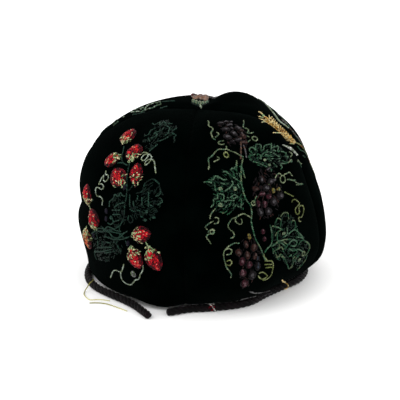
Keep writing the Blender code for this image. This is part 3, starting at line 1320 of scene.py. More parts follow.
def sew_leaf(sampler: Sampler, leaf: Leaf, look: LeafLook) -> None:
    """Sews a leaf in open work: a scalloped edge, its veins, and short ribs off each vein.

    The edge stands out by bulge * |sin(pi s / pitch)|, where s runs along it.  Ribs leave both
    sides of a vein every gap millimetres, at lean degrees to it, and stop at the edge.

    Args:
        sampler: the leaves' stitches.
        leaf: the leaf.
        look: its threads and sizes.
    """
    edge = np.array(leaf.edge, float)
    line = resample(np.concatenate([edge, edge[:1]]), LINE_STEP, smooth=False)
    after = np.roll(edge, -1, axis=0)
    winding = np.sign(np.sum(edge[:, 0] * after[:, 1] - after[:, 0] * edge[:, 1]))
    outward = -winding * left_of(unit(np.gradient(line, axis=0)))
    share = np.linspace(0.0, 1.0, len(line))
    scallops = max(3, round(LINE_STEP * len(line) / look.pitch))
    swell = look.bulge * np.abs(np.sin(np.pi * scallops * share))
    sampler.stem(line + outward * swell[:, None], look.rim, width=look.thread, smooth=False)
    for vein in leaf.veins:
        middle = resample(np.array(vein), LINE_STEP)
        sampler.stem(middle, look.rim, width=look.thread)
        roots = np.arange(4, len(middle) - 2, max(2, round(look.gap / LINE_STEP)))
        ahead = np.gradient(middle, axis=0)[roots]
        reach = np.linspace(0.6, look.reach, 12)
        for way in (-1.0, 1.0):
            angle = np.arctan2(ahead[:, 1], ahead[:, 0]) + way * math.radians(look.lean)
            angle = angle + sampler.rng.normal(0, 0.15, len(roots))
            rays = middle[roots][:, None] + reach[None, :, None] * heading(angle)[:, None]
            within = inside_outline(rays.reshape(-1, 2), edge).reshape(rays.shape[:2])
            last = np.cumprod(within, axis=1).sum(axis=1)
            for ray, count in zip(rays, last):
                if count > 3:
                    sampler.stem(ray[[0, count // 2, count - 1]], look.rib, width=0.9 * look.thread)


def sew_lines(
    sampler: Sampler,
    lines: tuple[Chart2D, ...],
    tones: tuple[Tone, ...],
    width: float,
    smooth: bool = True,
) -> None:
    """Sews several lines in one set of threads."""
    for line in lines:
        sampler.stem(line, tones, width=width, smooth=smooth)


def sew_knots(sampler: Sampler, knots: tuple[Bead, ...], tones: tuple[Tone, ...]) -> None:
    """Sews small raised knots in one set of threads."""
    rule = plain_rule(tones)
    for knot in knots:
        size = (knot.height, knot.width)
        sampler.satin((knot.x, knot.y), 90, *size, rule, pad=0.5, thread=0.8, stitch=2.0)


@dataclass(frozen=True)
class StrawberryGore:
    """The strawberry spray on the left front gore."""

    meridian: float = -51.0
    berries: tuple[Berry, ...] = (
        Berry(-4.5, 140.5, 104, 14.5, 15),
        Berry(14.6, 129.6, 108, 15, 14),
        Berry(-2.5, 118, 218, 15, 12),
        Berry(12.4, 107.2, 146, 17.5, 14.5),
        Berry(28, 113.3, 116, 18.5, 10.5, sepals=0.5),
        Berry(-22.5, 83.8, 99, 17, 15),
        Berry(-10.5, 66.5, 112, 17.5, 17),
        Berry(-22, 45, 275, 18, 17, Ripeness.ORANGE, 0.55),
        Berry(44.9, 65.8, 16, 17, 14, sepals=0.58),
        Berry(40.3, 44.3, -61, 18, 14.5, sepals=0.5),
        Berry(57.6, 46.3, -60, 20.5, 14.5, sepals=0.48),
    )
    buds: tuple[Bead, ...] = (
        Bead(6.5, 71, 3, 5),
        Bead(6.5, 77.5, 3, 5),
        Bead(-10, 52, 3, 5),
        Bead(22, 101, 3, 5),
        Bead(32.5, 56, 3, 5),
    )
    tendrils: tuple[Chart2D, ...] = (
        ((27, 36.5), (24, 31), (21, 27.5), (15, 27.5), (11, 25.5), (7, 21), (3, 16.5)),
        ((21, 27.5), (19.5, 23), (20, 18.5), (24.5, 16.5), (29, 17.5), (33, 21), (36, 24),
         (40, 26), (43, 31), (46, 35), (47, 41)),
        ((-3, 109), (-2, 106), (1.5, 106), (2.5, 103), (0, 100.5), (-3, 102), (-3.5, 105),
         (-6, 100), (-7, 96.5), (-3, 98), (0, 96), (-2, 93.5), (-6, 94), (-9.5, 93), (-9.5, 89.5),
         (-7, 87), (-2, 87.5), (1, 86), (1.2, 81.5)),
        ((20.5, 127), (22.5, 131), (27, 131), (29, 128), (27.5, 124.5), (24.5, 126), (25, 129.5),
         (29, 130.5), (32.5, 128.5), (33.5, 124.5), (31.5, 121), (30, 124), (32, 126.5), (36, 126),
         (40, 121.5), (44, 116)),
    )
    beds: tuple[Bed, ...] = (
        Bed((22, 134), (
            (22, 134), (28, 136), (28, 144), (34, 148), (33, 155), (28, 161), (20, 164), (13, 169),
            (7, 165), (8, 160), (11, 155), (12, 150), (10, 146), (13, 141),
        )),
        Bed((22, 66), (
            (22, 66), (27, 70), (28, 76), (27, 86), (24, 91), (17, 96), (13, 94), (12, 80),
            (14, 75), (17, 67),
        )),
        Bed((31, 88), (
            (31, 88), (38, 98), (38, 103), (42, 109), (50, 106), (54, 101), (58, 93), (56, 86),
            (50, 78), (42, 76), (34, 78),
        )),
        Bed((22, 55), (
            (22, 57), (0, 60), (-8, 57), (-12, 53), (-10, 48), (-15, 45), (-13, 40), (-14, 34),
            (-10, 30), (3, 32), (14, 38), (24, 45), (27, 52),
        )),
    )
    leaf_lines: tuple[Chart2D, ...] = (
        ((10.5, 145), (13, 147), (11.5, 152.5), (13.5, 156)),
        ((4, 159.5), (8, 159), (9, 163), (13.5, 160), (13, 162), (12, 165), (15, 164), (19.5, 161)),
        ((18, 164), (21.5, 165)), ((16, 144.5), (21, 141)),
        ((18.5, 144.5), (20.5, 146.5), (21.5, 148.5), (19, 150.5), (17, 149.5)),
        ((16.5, 150.5), (19, 152.5), (20.5, 155.5), (19.5, 157.5)),
        ((26.5, 143), (29, 144.5), (31, 147), (32, 149)),
        ((28, 150), (28.5, 152.5), (26.5, 156), (24, 159.5), (21, 160.5)),
        ((26.5, 133), (27.5, 135), (28.5, 138), (29, 140.5)),
        ((13, 89.5), (14.5, 93.5), (18, 92.5), (19.5, 96), (22.5, 94), (25, 94)),
        ((15.5, 83), (20.5, 87), (25.5, 89)), ((13, 80), (22, 82)), ((14, 76.5), (22, 78.5)),
        ((15, 70.5), (21.5, 73.5)), ((13, 89.5), (10, 86.5), (10, 82)),
        ((-6, 62), (-4, 58.5), (5, 60.5), (8.5, 64.5), (14, 65), (19, 64), (24.5, 64.5)),
        ((6, 60.5), (11.5, 60.5), (16, 58), (24, 59.5), (28, 64), (31, 66)),
        ((6, 56), (12, 56), (19.5, 56.5), (25.5, 58), (32.5, 61)),
        ((13.5, 74), (15.5, 70.5), (12, 67.5), (9, 68)), ((-3, 49.5), (-5.5, 42.5)),
        ((3, 51), (2.5, 45)), ((-7, 42), (4.5, 45.5), (15.5, 49)), ((7, 51.5), (14.5, 52)),
        ((-12, 36.5), (4.5, 42.5), (15, 47)), ((-10, 39.5), (-14.5, 33), (-13, 28.5)),
        ((4, 40.5), (14.5, 44.5)), ((-5.5, 56), (-3.5, 51)), ((28.5, 96.5), (31, 86.5)),
        ((33, 92), (34.5, 87.5)), ((36, 97), (36.5, 93.5)), ((40, 96), (41.5, 90)),
        ((44.5, 101), (46, 95.5), (47, 89)), ((43, 92.5), (45.5, 94), (48, 91), (51.5, 89.5)),
        ((51, 98), (54.5, 100), (53.5, 104)), ((55, 97.5), (58, 94.5), (54, 91)),
    )
    dim_lines: tuple[Chart2D, ...] = (
        ((26.5, 163.5), (30, 159), (29.5, 157), (32.5, 153.5), (36, 152.5), (37, 149.5),
         (39.5, 147), (40.5, 144.5)),
        ((17, 54), (21.5, 52.5), (23.5, 49.5)), ((16.5, 48.5), (18, 45.5), (21, 44)),
        ((25, 50.5), (25, 45)), ((3.5, 36), (5, 32.5)),
        ((31, 85), (35, 83.5), (40, 85), (42, 81), (44, 79.5)), ((51.5, 87), (55.5, 87)),
        ((52, 84), (54, 84)), ((31, 79.5), (30.5, 75.5), (33.5, 73.5), (35.5, 76.5), (32.5, 79.5)),
        ((51, 108), (54, 103), (57.5, 99)),
        ((34, 98), (39, 100.5), (39, 106.5), (43.5, 111), (51, 108)),
    )
    knots: tuple[Bead, ...] = (
        Bead(46.5, 85, 2.6, 3), Bead(46.5, 78, 3, 2.4), Bead(53.5, 81, 3, 2.2),
        Bead(12.5, 73.5, 2.6, 3.6),
    )
    stems: tuple[Chart2D, ...] = (
        ((15.5, 123), (18, 117), (21, 109), (24.5, 101), (26, 94), (26, 86), (26.5, 79), (25, 73),
         (22, 68)),
        ((0, 132), (3.5, 127), (6, 122.5), (11, 119), (16, 118)),
        ((5, 117.5), (9, 118.5), (16, 118)), ((18, 106), (22, 104), (24, 102)),
        ((30, 105), (27, 99)), ((22, 68), (15, 64), (6, 62), (-3, 60), (-8, 57)),
        ((22, 68), (24, 62), (28, 60), (34, 62)), ((30, 58), (32, 54)),
        ((15, 63), (5, 60), (-8, 56), (-14, 52)), ((28, 63), (18, 62), (8, 61.5), (0, 63)),
        ((-20, 78), (-12, 82)), ((24, 62), (22, 57), (20, 52)),
    )
    bright_stems: tuple[Chart2D, ...] = (
        ((48.5, 61), (52, 56.5)), ((-22, 77), (-18, 74), (-16, 70)),
    )

    def build(self, form: CrownForm, silk: bpy.types.Material) -> list[bpy.types.Object]:
        """Sews the whole spray.

        Args:
            form: the crown under it.
            silk: the thread's finish.

        Returns:
            The fruit, the leaves and the stems.
        """
        fruit = Sampler("strawberry_fruit", form, self.meridian, 11)
        for berry in self.berries:
            sew_berry(fruit, berry)
        lilac = plain_rule((Tone.LILAC,))
        for bud in self.buds:
            fruit.satin((bud.x, bud.y), 90, bud.height, bud.width, lilac, pad=0.6)
        worn = plain_rule((Tone.WEAR_AND_SHEEN_GREY, Tone.SAGE))
        fruit.satin((35.5, 29.5), 90, 6, 5, worn, pad=1.0, stitch=2.0)
        leaves = Sampler("strawberry_leaves", form, self.meridian, 12)
        for bed in self.beds:
            sew_bed(leaves, *bed, (Tone.BLUE_BED, Tone.GREEN_BED, Tone.TEAL_DARK))
        sew_lines(leaves, self.leaf_lines, (Tone.TEAL_LIGHT, Tone.TEAL, Tone.TEAL_LIGHT), 1.05)
        sew_lines(leaves, self.dim_lines, (Tone.TEAL, Tone.TEAL_DARK), 1.15)
        sew_knots(leaves, self.knots, (Tone.TEAL, Tone.TEAL_LIGHT))
        stems = Sampler("strawberry_stems", form, self.meridian, 13)
        sew_lines(stems, self.stems, (Tone.TEAL, Tone.TEAL_DARK, Tone.TEAL), 1.05)
        sew_lines(stems, self.bright_stems, (Tone.SAGE_PALE, Tone.PALE_GREEN), 1.2)
        sew_lines(stems, self.tendrils, (Tone.LICHEN, Tone.SAGE_PALE, Tone.LICHEN), 1.05)
        return [sampler.mesh(silk) for sampler in (fruit, leaves, stems)]


@dataclass(frozen=True)
class VineGore:
    """The grape vine on the right front gore."""

    meridian: float = 38.0
    top_grapes: tuple[Bead, ...] = (
        Bead(-12, 167.5, 4.9, 3.6), Bead(-7, 164, 5.2, 3.4), Bead(-6.5, 169, 3.3, 1.9),
        Bead(-3, 168, 2.3, 2), Bead(-13, 159, 6.4, 5), Bead(-3, 158, 4.8, 5.5),
        Bead(-10, 153, 4, 6.4), Bead(-17, 150, 5.8, 6.2), Bead(-10.5, 145.5, 5.2, 4.4),
        Bead(-16, 144.5, 3.4, 2.7), Bead(-8, 159.5, 2.5, 3),
    )
    bark_grapes: tuple[Bead, ...] = (
        Bead(-2, 155, 3.4, 2.8), Bead(-4.5, 148.5, 4.9, 5.7), Bead(-7, 142, 5, 4),
        Bead(-29, 59.5, 3.8, 5.8), Bead(-35.5, 53.5, 5.4, 5.9), Bead(-22.5, 56, 5.4, 5.9),
        Bead(-28.5, 50.5, 5, 6.6), Bead(-22, 49, 3.6, 5.2), Bead(-14, 102, 5.2, 4.2),
    )
    grey_grapes: tuple[Bead, ...] = (
        Bead(-6.5, 108, 3.8, 5.7), Bead(2, 105, 6.1, 4.2), Bead(-4, 101, 6.1, 4.8),
        Bead(1, 89, 5.8, 6.6), Bead(9, 92, 7.6, 5), Bead(-13, 83, 4.8, 6.6),
        Bead(-5.5, 82.5, 5.8, 5.8), Bead(3.5, 115, 4.1, 2.6), Bead(6, 105.5, 3.2, 2.6),
        Bead(-23.5, 32.5, 6.1, 8.2),
    )
    olive_grapes: tuple[Bead, ...] = (
        Bead(8, 97.5, 4, 3.9), Bead(2.5, 97.5, 3.9, 3.9), Bead(-25.5, 65.5, 3.4, 4.6),
    )
    red_grapes: tuple[Bead, ...] = (
        Bead(-8.5, 97, 5.4, 4.4), Bead(-3, 94, 4.9, 4.6), Bead(-14, 90, 4.7, 5.2),
        Bead(-8, 88.5, 4.9, 5.4), Bead(-33, 46, 4.9, 6.9), Bead(-27, 42.5, 5.6, 5.8),
        Bead(-32, 36, 5.6, 6.5), Bead(-29, 25.5, 6.4, 7.8), Bead(-13, 67.5, 3.6, 4),
        Bead(-12.5, 61.5, 3.2, 3.6),
    )
    slate_grapes: tuple[Bead, ...] = (Bead(-19.5, 40, 4.4, 7), Bead(-20, 47, 2.8, 3.4))
    sage_tendrils: tuple[Chart2D, ...] = (
        ((-18, 174), (-20, 170), (-21.5, 168), (-23, 165), (-22, 162.5), (-24, 159), (-27, 156),
         (-28, 153), (-29, 150), (-28, 147.5)),
        ((-22, 157), (-21.5, 155), (-24, 152.5), (-27, 150.5)),
        ((-22, 146.5), (-26, 146), (-28, 144), (-26, 142.5), (-23, 143.5)),
        ((-23, 141), (-24, 138), (-22, 136), (-19, 134), (-17, 131.5), (-14, 129)),
        ((-24, 138), (-27, 138), (-30, 138.5), (-34, 136.5), (-37, 134), (-40, 132), (-43, 130),
         (-44, 127), (-45, 124), (-47, 121)),
        ((-35, 132), (-34, 130), (-37, 128.5), (-40, 127.5)),
        ((8, 167.5), (6, 164), (3, 160.5), (2, 158), (4, 156), (3.5, 153.5), (1, 151.5),
         (4, 150.5), (7, 150.5)),
        ((-50, 90), (-55, 85), (-56, 82)),
        ((-53, 80), (-56, 79), (-59, 77), (-60.5, 75.5), (-59, 73.5)),
        ((-52, 83), (-49.5, 82.5), (-49, 80), (-51, 78), (-53, 78)),
        ((-59, 71), (-57, 73), (-54, 73.5), (-53.5, 71.5), (-56, 70), (-59, 69.5), (-60.5, 67.5),
         (-58.5, 64), (-57.5, 62)),
        ((-22, 80), (-24.5, 82), (-28, 84), (-31, 83.5), (-34, 82), (-38, 81), (-40, 79),
         (-42, 76), (-41, 73), (-38, 70), (-38, 67), (-41, 65.5)),
        ((-34, 82.5), (-35.5, 79), (-33, 76.5), (-31, 76), (-30, 78), (-30.5, 81)),
        ((-1, 103), (3, 104.5), (8, 107), (11, 109), (14, 109), (15, 107.5)),
        ((18, 107), (22, 107), (26, 107), (27, 105), (29, 103)),
        ((20, 102.5), (23, 102), (26, 100.5), (30, 99), (32, 97), (36, 95), (40, 94)),
        ((-34, 61), (-38, 61.5), (-42, 60), (-46, 57), (-48, 54), (-48, 50.5), (-47, 46),
         (-46, 42), (-43, 38), (-41.5, 35), (-42, 32.5)),
        ((-46, 57), (-43, 57.5), (-41, 55.5), (-42.5, 53), (-46, 52.5)),
    )
    moss_tendrils: tuple[Chart2D, ...] = (
        ((-26, 136), (-29, 133), (-28.5, 130.5), (-26, 131), (-25.5, 134), (-26, 136)),
        ((14, 94), (19, 91), (25, 87.5)),
        ((20.5, 84), (24, 85.5), (28.5, 83), (30.5, 80.5), (27, 79), (24, 78), (23.5, 75),
         (25.5, 73), (28.5, 74), (28.5, 77.5), (32, 78.5), (35.5, 76.5), (34, 72.5), (30, 69.5),
         (26, 70), (26, 67.5), (29, 66)),
        ((-46, 47), (-43, 48), (-41.5, 46), (-43.5, 43.5), (-46, 44.5)),
        ((-14, 50), (-13.5, 47), (-12, 45), (-11, 43)),
        ((-18, 33.5), (-15, 34), (-11.5, 31.5), (-9, 28.5), (-12, 26.5), (-16, 28.5), (-18, 31)),
        ((-13.5, 43.5), (-6, 42)), ((-13.5, 40.5), (-6, 39)), ((-12.5, 37.5), (-6, 36.5)),
        ((-6.5, 42.5), (-5, 38), (-5, 33.5), (-5, 28.5), (-8, 25.5), (-13, 25.5)),
    )
    rings: tuple[Bead, ...] = (
        Bead(4, 144, 4.6, 4.6),
        Bead(15.5, 104, 6, 6),
        Bead(-18, 91, 3.6, 3.6),
        Bead(-55.5, 71.5, 3.4, 3.4),
        Bead(29, 39, 3.6, 3.6),
    )
    bunch_stems: tuple[Chart2D, ...] = (
        ((-1, 158), (-4, 151), (-8, 146), (-11, 140), (-13, 136), (-15, 132), (-17, 128)),
        ((-9, 140), (-10, 134), (-12, 128)),
    )
    stems: tuple[Chart2D, ...] = (
        ((-15, 128), (-19, 122), (-22, 116), (-24, 110), (-25, 104), (-24.5, 98), (-23, 93),
         (-21, 90), (-20.5, 86), (-21, 82), (-22, 79), (-22, 74), (-21.5, 70), (-21, 66),
         (-20, 62), (-18, 58), (-16, 53), (-14, 47), (-12.5, 44)),
        ((-21, 127), (-24, 120)), ((-19.5, 122), (-20, 115), (-20.5, 111)), ((-18, 91), (-14, 96)),
        ((0, 146.5), (-1, 149)), ((-4, 142), (0, 143.5)),
    )
    beds: tuple[Bed, ...] = (
        Bed((-25, 104), (
            (-25, 104), (-22, 116), (-24, 122), (-30, 119), (-36, 119.5), (-40, 114), (-44, 116),
            (-54, 111), (-48, 104), (-52, 92), (-50, 87), (-42, 85), (-37, 86), (-33, 91),
            (-28, 86), (-24, 96),
        )),
        Bed((-8, 123), (
            (-10, 125), (-6, 134), (-3, 137), (3, 139), (8, 136), (17, 135.5), (24, 131),
            (30, 125), (34, 117), (22, 114), (12, 116), (5, 113), (-4, 119),
        )),
        Bed((-5, 57), (
            (-5, 47), (-6, 64), (-1, 75), (6, 78), (14, 78), (21, 70), (22, 61), (29, 55),
            (36, 47), (39, 41), (35, 31), (29, 22), (22, 30), (15, 29), (6, 38), (0, 41),
        )),
    )
    bunch_beds: tuple[Bed, ...] = (
        Bed((-8, 178), (
            (-20, 141), (-19, 153), (-16, 163), (-14, 171), (-3, 171), (0, 160), (0, 146),
            (-6, 138),
        )),
        Bed((-4, 118), (
            (-18, 92), (-15, 106), (-8, 115), (5, 117), (12, 108), (13, 92), (6, 85), (-2, 78),
            (-14, 78),
        )),
        Bed((-26, 68), (
            (-38, 56), (-36, 42), (-34, 30), (-30, 20), (-24, 22), (-19, 36), (-17, 50), (-20, 64),
            (-30, 66),
        )),
    )
    leaf_lines: tuple[Chart2D, ...] = (
        ((-5, 129), (-10, 128.5), (-8, 125)),
        ((-5, 130.5), (-6.5, 134), (-3.5, 136.5), (-1, 134.5), (-1, 133)),
        ((-0.5, 133.5), (2, 138), (6, 137), (3.5, 131.5)),
        ((3.5, 131.5), (6.5, 132), (8.5, 134.5), (12.5, 135.5), (16.5, 134), (14.5, 130.5)),
        ((16, 131.5), (20.5, 131.5), (24, 131), (22.5, 128.5), (20.5, 127), (23, 126)),
        ((24.5, 126), (27.5, 124.5), (30.5, 122), (28, 120.5), (31, 119)),
        ((29.5, 115.5), (23.5, 115), (20, 116), (17.5, 115), (19, 113.5), (16, 112)),
        ((10.5, 119), (13, 114.5)),
        ((-7.5, 123.5), (-3.5, 121.5), (0, 119), (4.5, 115.5), (6.5, 113.5)),
        ((-0.5, 130), (1.5, 127.5), (6, 129), (10, 129), (13.5, 127.5)), ((1.5, 127.5), (0, 124)),
        ((6, 127.5), (9.5, 125.5), (11.5, 124)), ((14.5, 127), (17.5, 124), (20.5, 121.5)),
        ((-55, 111), (-51.5, 111), (-48.5, 110)),
        ((-50.5, 113), (-46.5, 112.5), (-43.5, 115.5), (-40.5, 114), (-38.5, 112), (-35.5, 112)),
        ((-41.5, 110), (-39, 108.5), (-35.5, 108.5)), ((-46, 110.5), (-47, 106), (-47.5, 103)),
        ((-47.5, 103.5), (-43.5, 105.5), (-42, 103.5)),
        ((-40, 103), (-36.5, 104.5), (-33.5, 106.5), (-31.5, 108.5), (-32, 110.5)),
        ((-36.5, 118.5), (-34.5, 118.5), (-32.5, 116.5), (-30, 113.5), (-29, 112.5)),
        ((-36, 116.5), (-34, 115)),
        ((-23.5, 120), (-27.5, 120.5), (-29.5, 119.5), (-28, 117), (-29, 113.5)),
        ((-23, 124), (-24, 121)), ((-21, 122), (-19.5, 119), (-20.5, 113.5)),
        ((-23, 116), (-24.5, 112.5)),
        ((-29.5, 113.5), (-27, 110.5), (-25, 109), (-25, 105.5), (-24, 101.5)),
        ((-28, 107.5), (-27.5, 104.5)), ((-33.5, 100), (-30.5, 98), (-34.5, 96.5)),
        ((-30.5, 98), (-28.5, 96.5), (-29.5, 88)),
        ((-47, 101.5), (-43.5, 101), (-41.5, 100), (-42.5, 95.5), (-38.5, 95.5), (-33, 95)),
        ((-46, 101), (-47.5, 97.5), (-50, 97.5), (-51, 93.5), (-54, 91)),
        ((-36, 88.5), (-33, 91.5), (-30.5, 89)), ((-2.5, 69.5), (2, 68), (6, 65)),
        ((1, 65), (0, 58), (5.5, 56.5)), ((11, 66.5), (10, 60.5), (5, 59)),
        ((11.5, 60.5), (19, 62), (25.5, 56.5), (29.5, 52.5)),
        ((11, 53), (16, 54.5), (20.5, 50.5), (18.5, 49), (12.5, 51)),
        ((20, 56), (29, 51.5), (30.5, 49)), ((-5.5, 54.5), (0.5, 56), (9, 50)),
        ((-5.5, 53), (-5, 48)), ((-13.5, 50.5), (-11, 53), (-7, 55.5), (-5, 63.5), (-5.5, 72)),
        ((10.5, 49), (15.5, 45.5), (21.5, 45), (28, 41)), ((14.5, 42.5), (10.5, 41.5)),
    )
    grey_lines: tuple[Chart2D, ...] = (
        ((-47, 87.5), (-45, 86), (-41, 87.5)), ((-42, 84.5), (-37.5, 86.5)),
        ((-0.5, 72), (2.5, 75.5), (5.5, 73.5), (4, 68)),
        ((5.5, 76), (9.5, 78), (14, 77), (14, 72)), ((16, 68), (18.5, 70), (21, 68), (21, 63.5)),
        ((-3.5, 49.5), (0, 42), (1.5, 46), (6, 42), (10, 35), (15.5, 29), (17.5, 32.5), (16, 38.5),
         (18.5, 39.5)),
        ((28.5, 22.5), (32.5, 28), (34.5, 32.5), (33.5, 37.5)),
        ((30.5, 49), (35, 47), (38, 42), (36, 38.5), (33, 37)),
        ((44, 111.5), (50, 109), (50, 105)), ((31, 95.5), (42.5, 93)), ((22, 102), (32, 99)),
        ((-4, 70.5), (0, 69), (4.5, 65.5), (0.5, 64.5), (-2, 62)),
        ((-0.5, 58.5), (1, 53), (-2, 51)), ((-7, 54), (-0.5, 56.5), (5.5, 57), (13, 56)),
        ((5.5, 56), (9.5, 51), (5, 49.5)), ((-5.5, 49.5), (-0.5, 51), (3, 52), (5, 47)),
        ((-2.5, 44.5), (3, 44), (6, 40)),
        ((22, 48.5), (26, 51), (33, 48), (37, 42), (34.5, 37.5), (30.5, 36)),
        ((17.5, 28.5), (18, 35.5), (21, 38.5), (23.5, 39.5)),
    )
    curls: tuple[Chart2D, ...] = (
        ((11.5, 60.5), (17.5, 62.5), (23, 64)), ((22.5, 62.5), (23, 57.5), (29, 52.5)),
        ((10.5, 51.5), (15, 54), (21, 52), (18.5, 49.5), (12.5, 50.5)),
        ((10, 47.5), (16, 47), (20.5, 43), (16, 40.5), (21, 33.5)),
    )
    leaf_spots: tuple[Bead, ...] = (
        Bead(3.5, 123, 2.4, 2.4), Bead(6, 118, 3, 2.4), Bead(33.5, 115, 3, 3),
        Bead(-31, 104, 3, 3.4), Bead(-45.5, 92.5, 4, 3.6), Bead(24.5, 34.5, 3, 3),
        Bead(-43, 105, 3, 3), Bead(7, 62, 3.4, 2.6),
    )
    pale_lines: tuple[Chart2D, ...] = (
        ((35.5, 122.5), (39.5, 119.5), (34.5, 118)), ((45.5, 112.5), (52, 109), (60.5, 105.5)),
        ((34, 115.5), (28, 114.5)),
    )

    def build(self, form: CrownForm, silk: bpy.types.Material) -> list[bpy.types.Object]:
        """Sews the whole vine.

        Args:
            form: the crown under it.
            silk: the thread's finish.

        Returns:
            The grapes, the leaves and the stems.
        """
        grapes = Sampler("vine_grapes", form, self.meridian, 21)
        for bed in self.bunch_beds:
            tones = (Tone.MAROON_BED, Tone.BARK_RED, Tone.MAROON_BED, Tone.PLUM_DARK)
            sew_bed(grapes, *bed, tones, gap=2.4)
        # Each bunch's tones: its painted highlight, its body, and its painted shade.
        bunches = (
            (self.top_grapes, grape_rule(Tone.MAUVE_GREY, Tone.PLUM, Tone.PLUM_DARK)),
            (self.bark_grapes, grape_rule(Tone.MAUVE_BROWN, Tone.BARK_RED, Tone.PLUM_DARK)),
            (self.grey_grapes, grape_rule(Tone.MAUVE_GREY, Tone.PLUM, Tone.PLUM_DARK)),
            (self.olive_grapes, grape_rule(Tone.SAGE, Tone.SEED_OLIVE, Tone.PLUM_DARK)),
            (self.red_grapes, grape_rule(Tone.GRAPE_PINK, Tone.GRAPE_RED, Tone.PLUM_DARK)),
            (self.slate_grapes, grape_rule(Tone.SLATE, Tone.PLUM, Tone.PLUM_DARK)),
        )
        for bunch, rule in bunches:
            for bead in bunch:
                tilt = 90.0 if bead.height >= bead.width else 0.0
                size = [1.1 * side for side in sorted((bead.height, bead.width), reverse=True)]
                turn = tilt + grapes.rng.uniform(-15, 15)
                looks = {"pad": 1.3, "thread": 0.75, "stitch": 2.4}
                grapes.satin((bead.x, bead.y), turn, *size, rule, **looks)
        leaves = Sampler("vine_leaves", form, self.meridian, 22)
        for bed in self.beds:
            sew_bed(leaves, *bed, (Tone.GREEN_BED, Tone.BOTTLE, Tone.TEAL_DARK))
        for bed in self.beds[:2]:
            sew_bed(leaves, *bed, (Tone.LEAF, Tone.LEAF_LIGHT, Tone.LEAF), gap=4.0)
        sew_lines(leaves, self.leaf_lines, (Tone.LEAF_LIGHT, Tone.LEAF, Tone.LEAF_LIGHT), 1.15)
        sew_lines(leaves, self.grey_lines, (Tone.SAGE, Tone.LEAF), 1.05)
        sew_lines(leaves, self.curls, (Tone.LEAF, Tone.TEAL_LIGHT), 0.9)
        sew_knots(leaves, self.leaf_spots, (Tone.LEAF_LIGHT, Tone.SAGE_PALE))
        stems = Sampler("vine_stems", form, self.meridian, 23)
        sew_lines(stems, self.bunch_stems, (Tone.BARK, Tone.MAUVE_GREY), 1.2)
        sew_lines(stems, self.stems, (Tone.LEAF_LIGHT, Tone.SAGE, Tone.LEAF), 1.2)
        sew_lines(stems, self.sage_tendrils, (Tone.SAGE, Tone.SAGE_PALE, Tone.LEAF_LIGHT), 1.05)
        sew_lines(stems, self.moss_tendrils, (Tone.MOSS, Tone.MOSS_PALE), 1.05)
        sew_lines(stems, self.pale_lines, (Tone.SAGE, Tone.SAGE_PALE), 1.0)
        blade = plain_rule((Tone.LICHEN, Tone.WHITE, Tone.SAGE))
        stems.satin((44, 122.6), -30, 33, 3.8, blade, blunt=1.9, pad=0.8, thread=0.8)
        turn = np.linspace(0, 2 * np.pi, 9)
        for ring in self.rings:
            x, y = ring.x + ring.width / 2 * np.cos(turn), ring.y + ring.height / 2 * np.sin(turn)
            marks = np.stack([x, y], axis=-1)
            stems.stem(marks, (Tone.SAGE, Tone.SAGE_PALE), width=1.1, stitch=1.8)
        return [sampler.mesh(silk) for sampler in (grapes, leaves, stems)]


@dataclass(frozen=True)
class WheatEar:
    """An ear of wheat on its stalk, from its tip down."""

    spine: Chart2D
    foot: tuple[float, float]
    pairs: int = 9
    spread: float = 2.5
    awn: float = 7.0

    def sew(self, ears: Sampler, stalks: Sampler) -> None:
        """Sews the ear's grains in two rows, its awns and its stalk.

        Args:
            ears: takes the grains.
            stalks: takes the awns and the stalk.
        """
        spine = resample(np.array(self.spine), 0.5)
        ahead = unit(-np.gradient(spine, axis=0))
        rule = plain_rule(
            (Tone.STRAW, Tone.STRAW_PALE, Tone.STRAW, Tone.STRAW_PALE, Tone.STRAW_BROWN)
        )
        grain = {"pad": 1.2, "thread": 0.75, "stitch": 3.4}
        for step in range(self.pairs):
            row = round((1.0 - step / self.pairs) * (len(spine) - 1))
            spot, axis = spine[row], ahead[row]
            side = left_of(axis)
            turn = math.degrees(math.atan2(axis[1], axis[0]))
            for way in (-1.0, 1.0):
                centre = spot + side * way * self.spread
                width = 0.7 + 0.9 * self.spread
                ears.satin(tuple(centre), turn + way * 28.0, 5.6, width, rule, **grain)
                start = centre + 2.6 * axis + side * way * 1.0
                end = start + axis * self.awn + side * way * 0.75 * self.awn
                awn = (tuple(start), tuple(end))
                stalks.stem(awn, (Tone.STRAW_PALE, Tone.STRAW), 0.7, stitch=3.0)
        tip, axis = spine[0], ahead[0]
        ears.satin(tuple(tip), math.degrees(math.atan2(axis[1], axis[0])), 6.0, 2.4, rule, **grain)
        neck, foot = spine[-1], np.array(self.foot)
        bow = 0.5 * (neck + foot) + 0.06 * np.array([foot[1] - neck[1], neck[0] - foot[0]])
        line = (tuple(neck), tuple(bow), self.foot)
        stalks.stem(line, (Tone.MOSS, Tone.STRAW_BROWN, Tone.MOSS_PALE), 1.4)


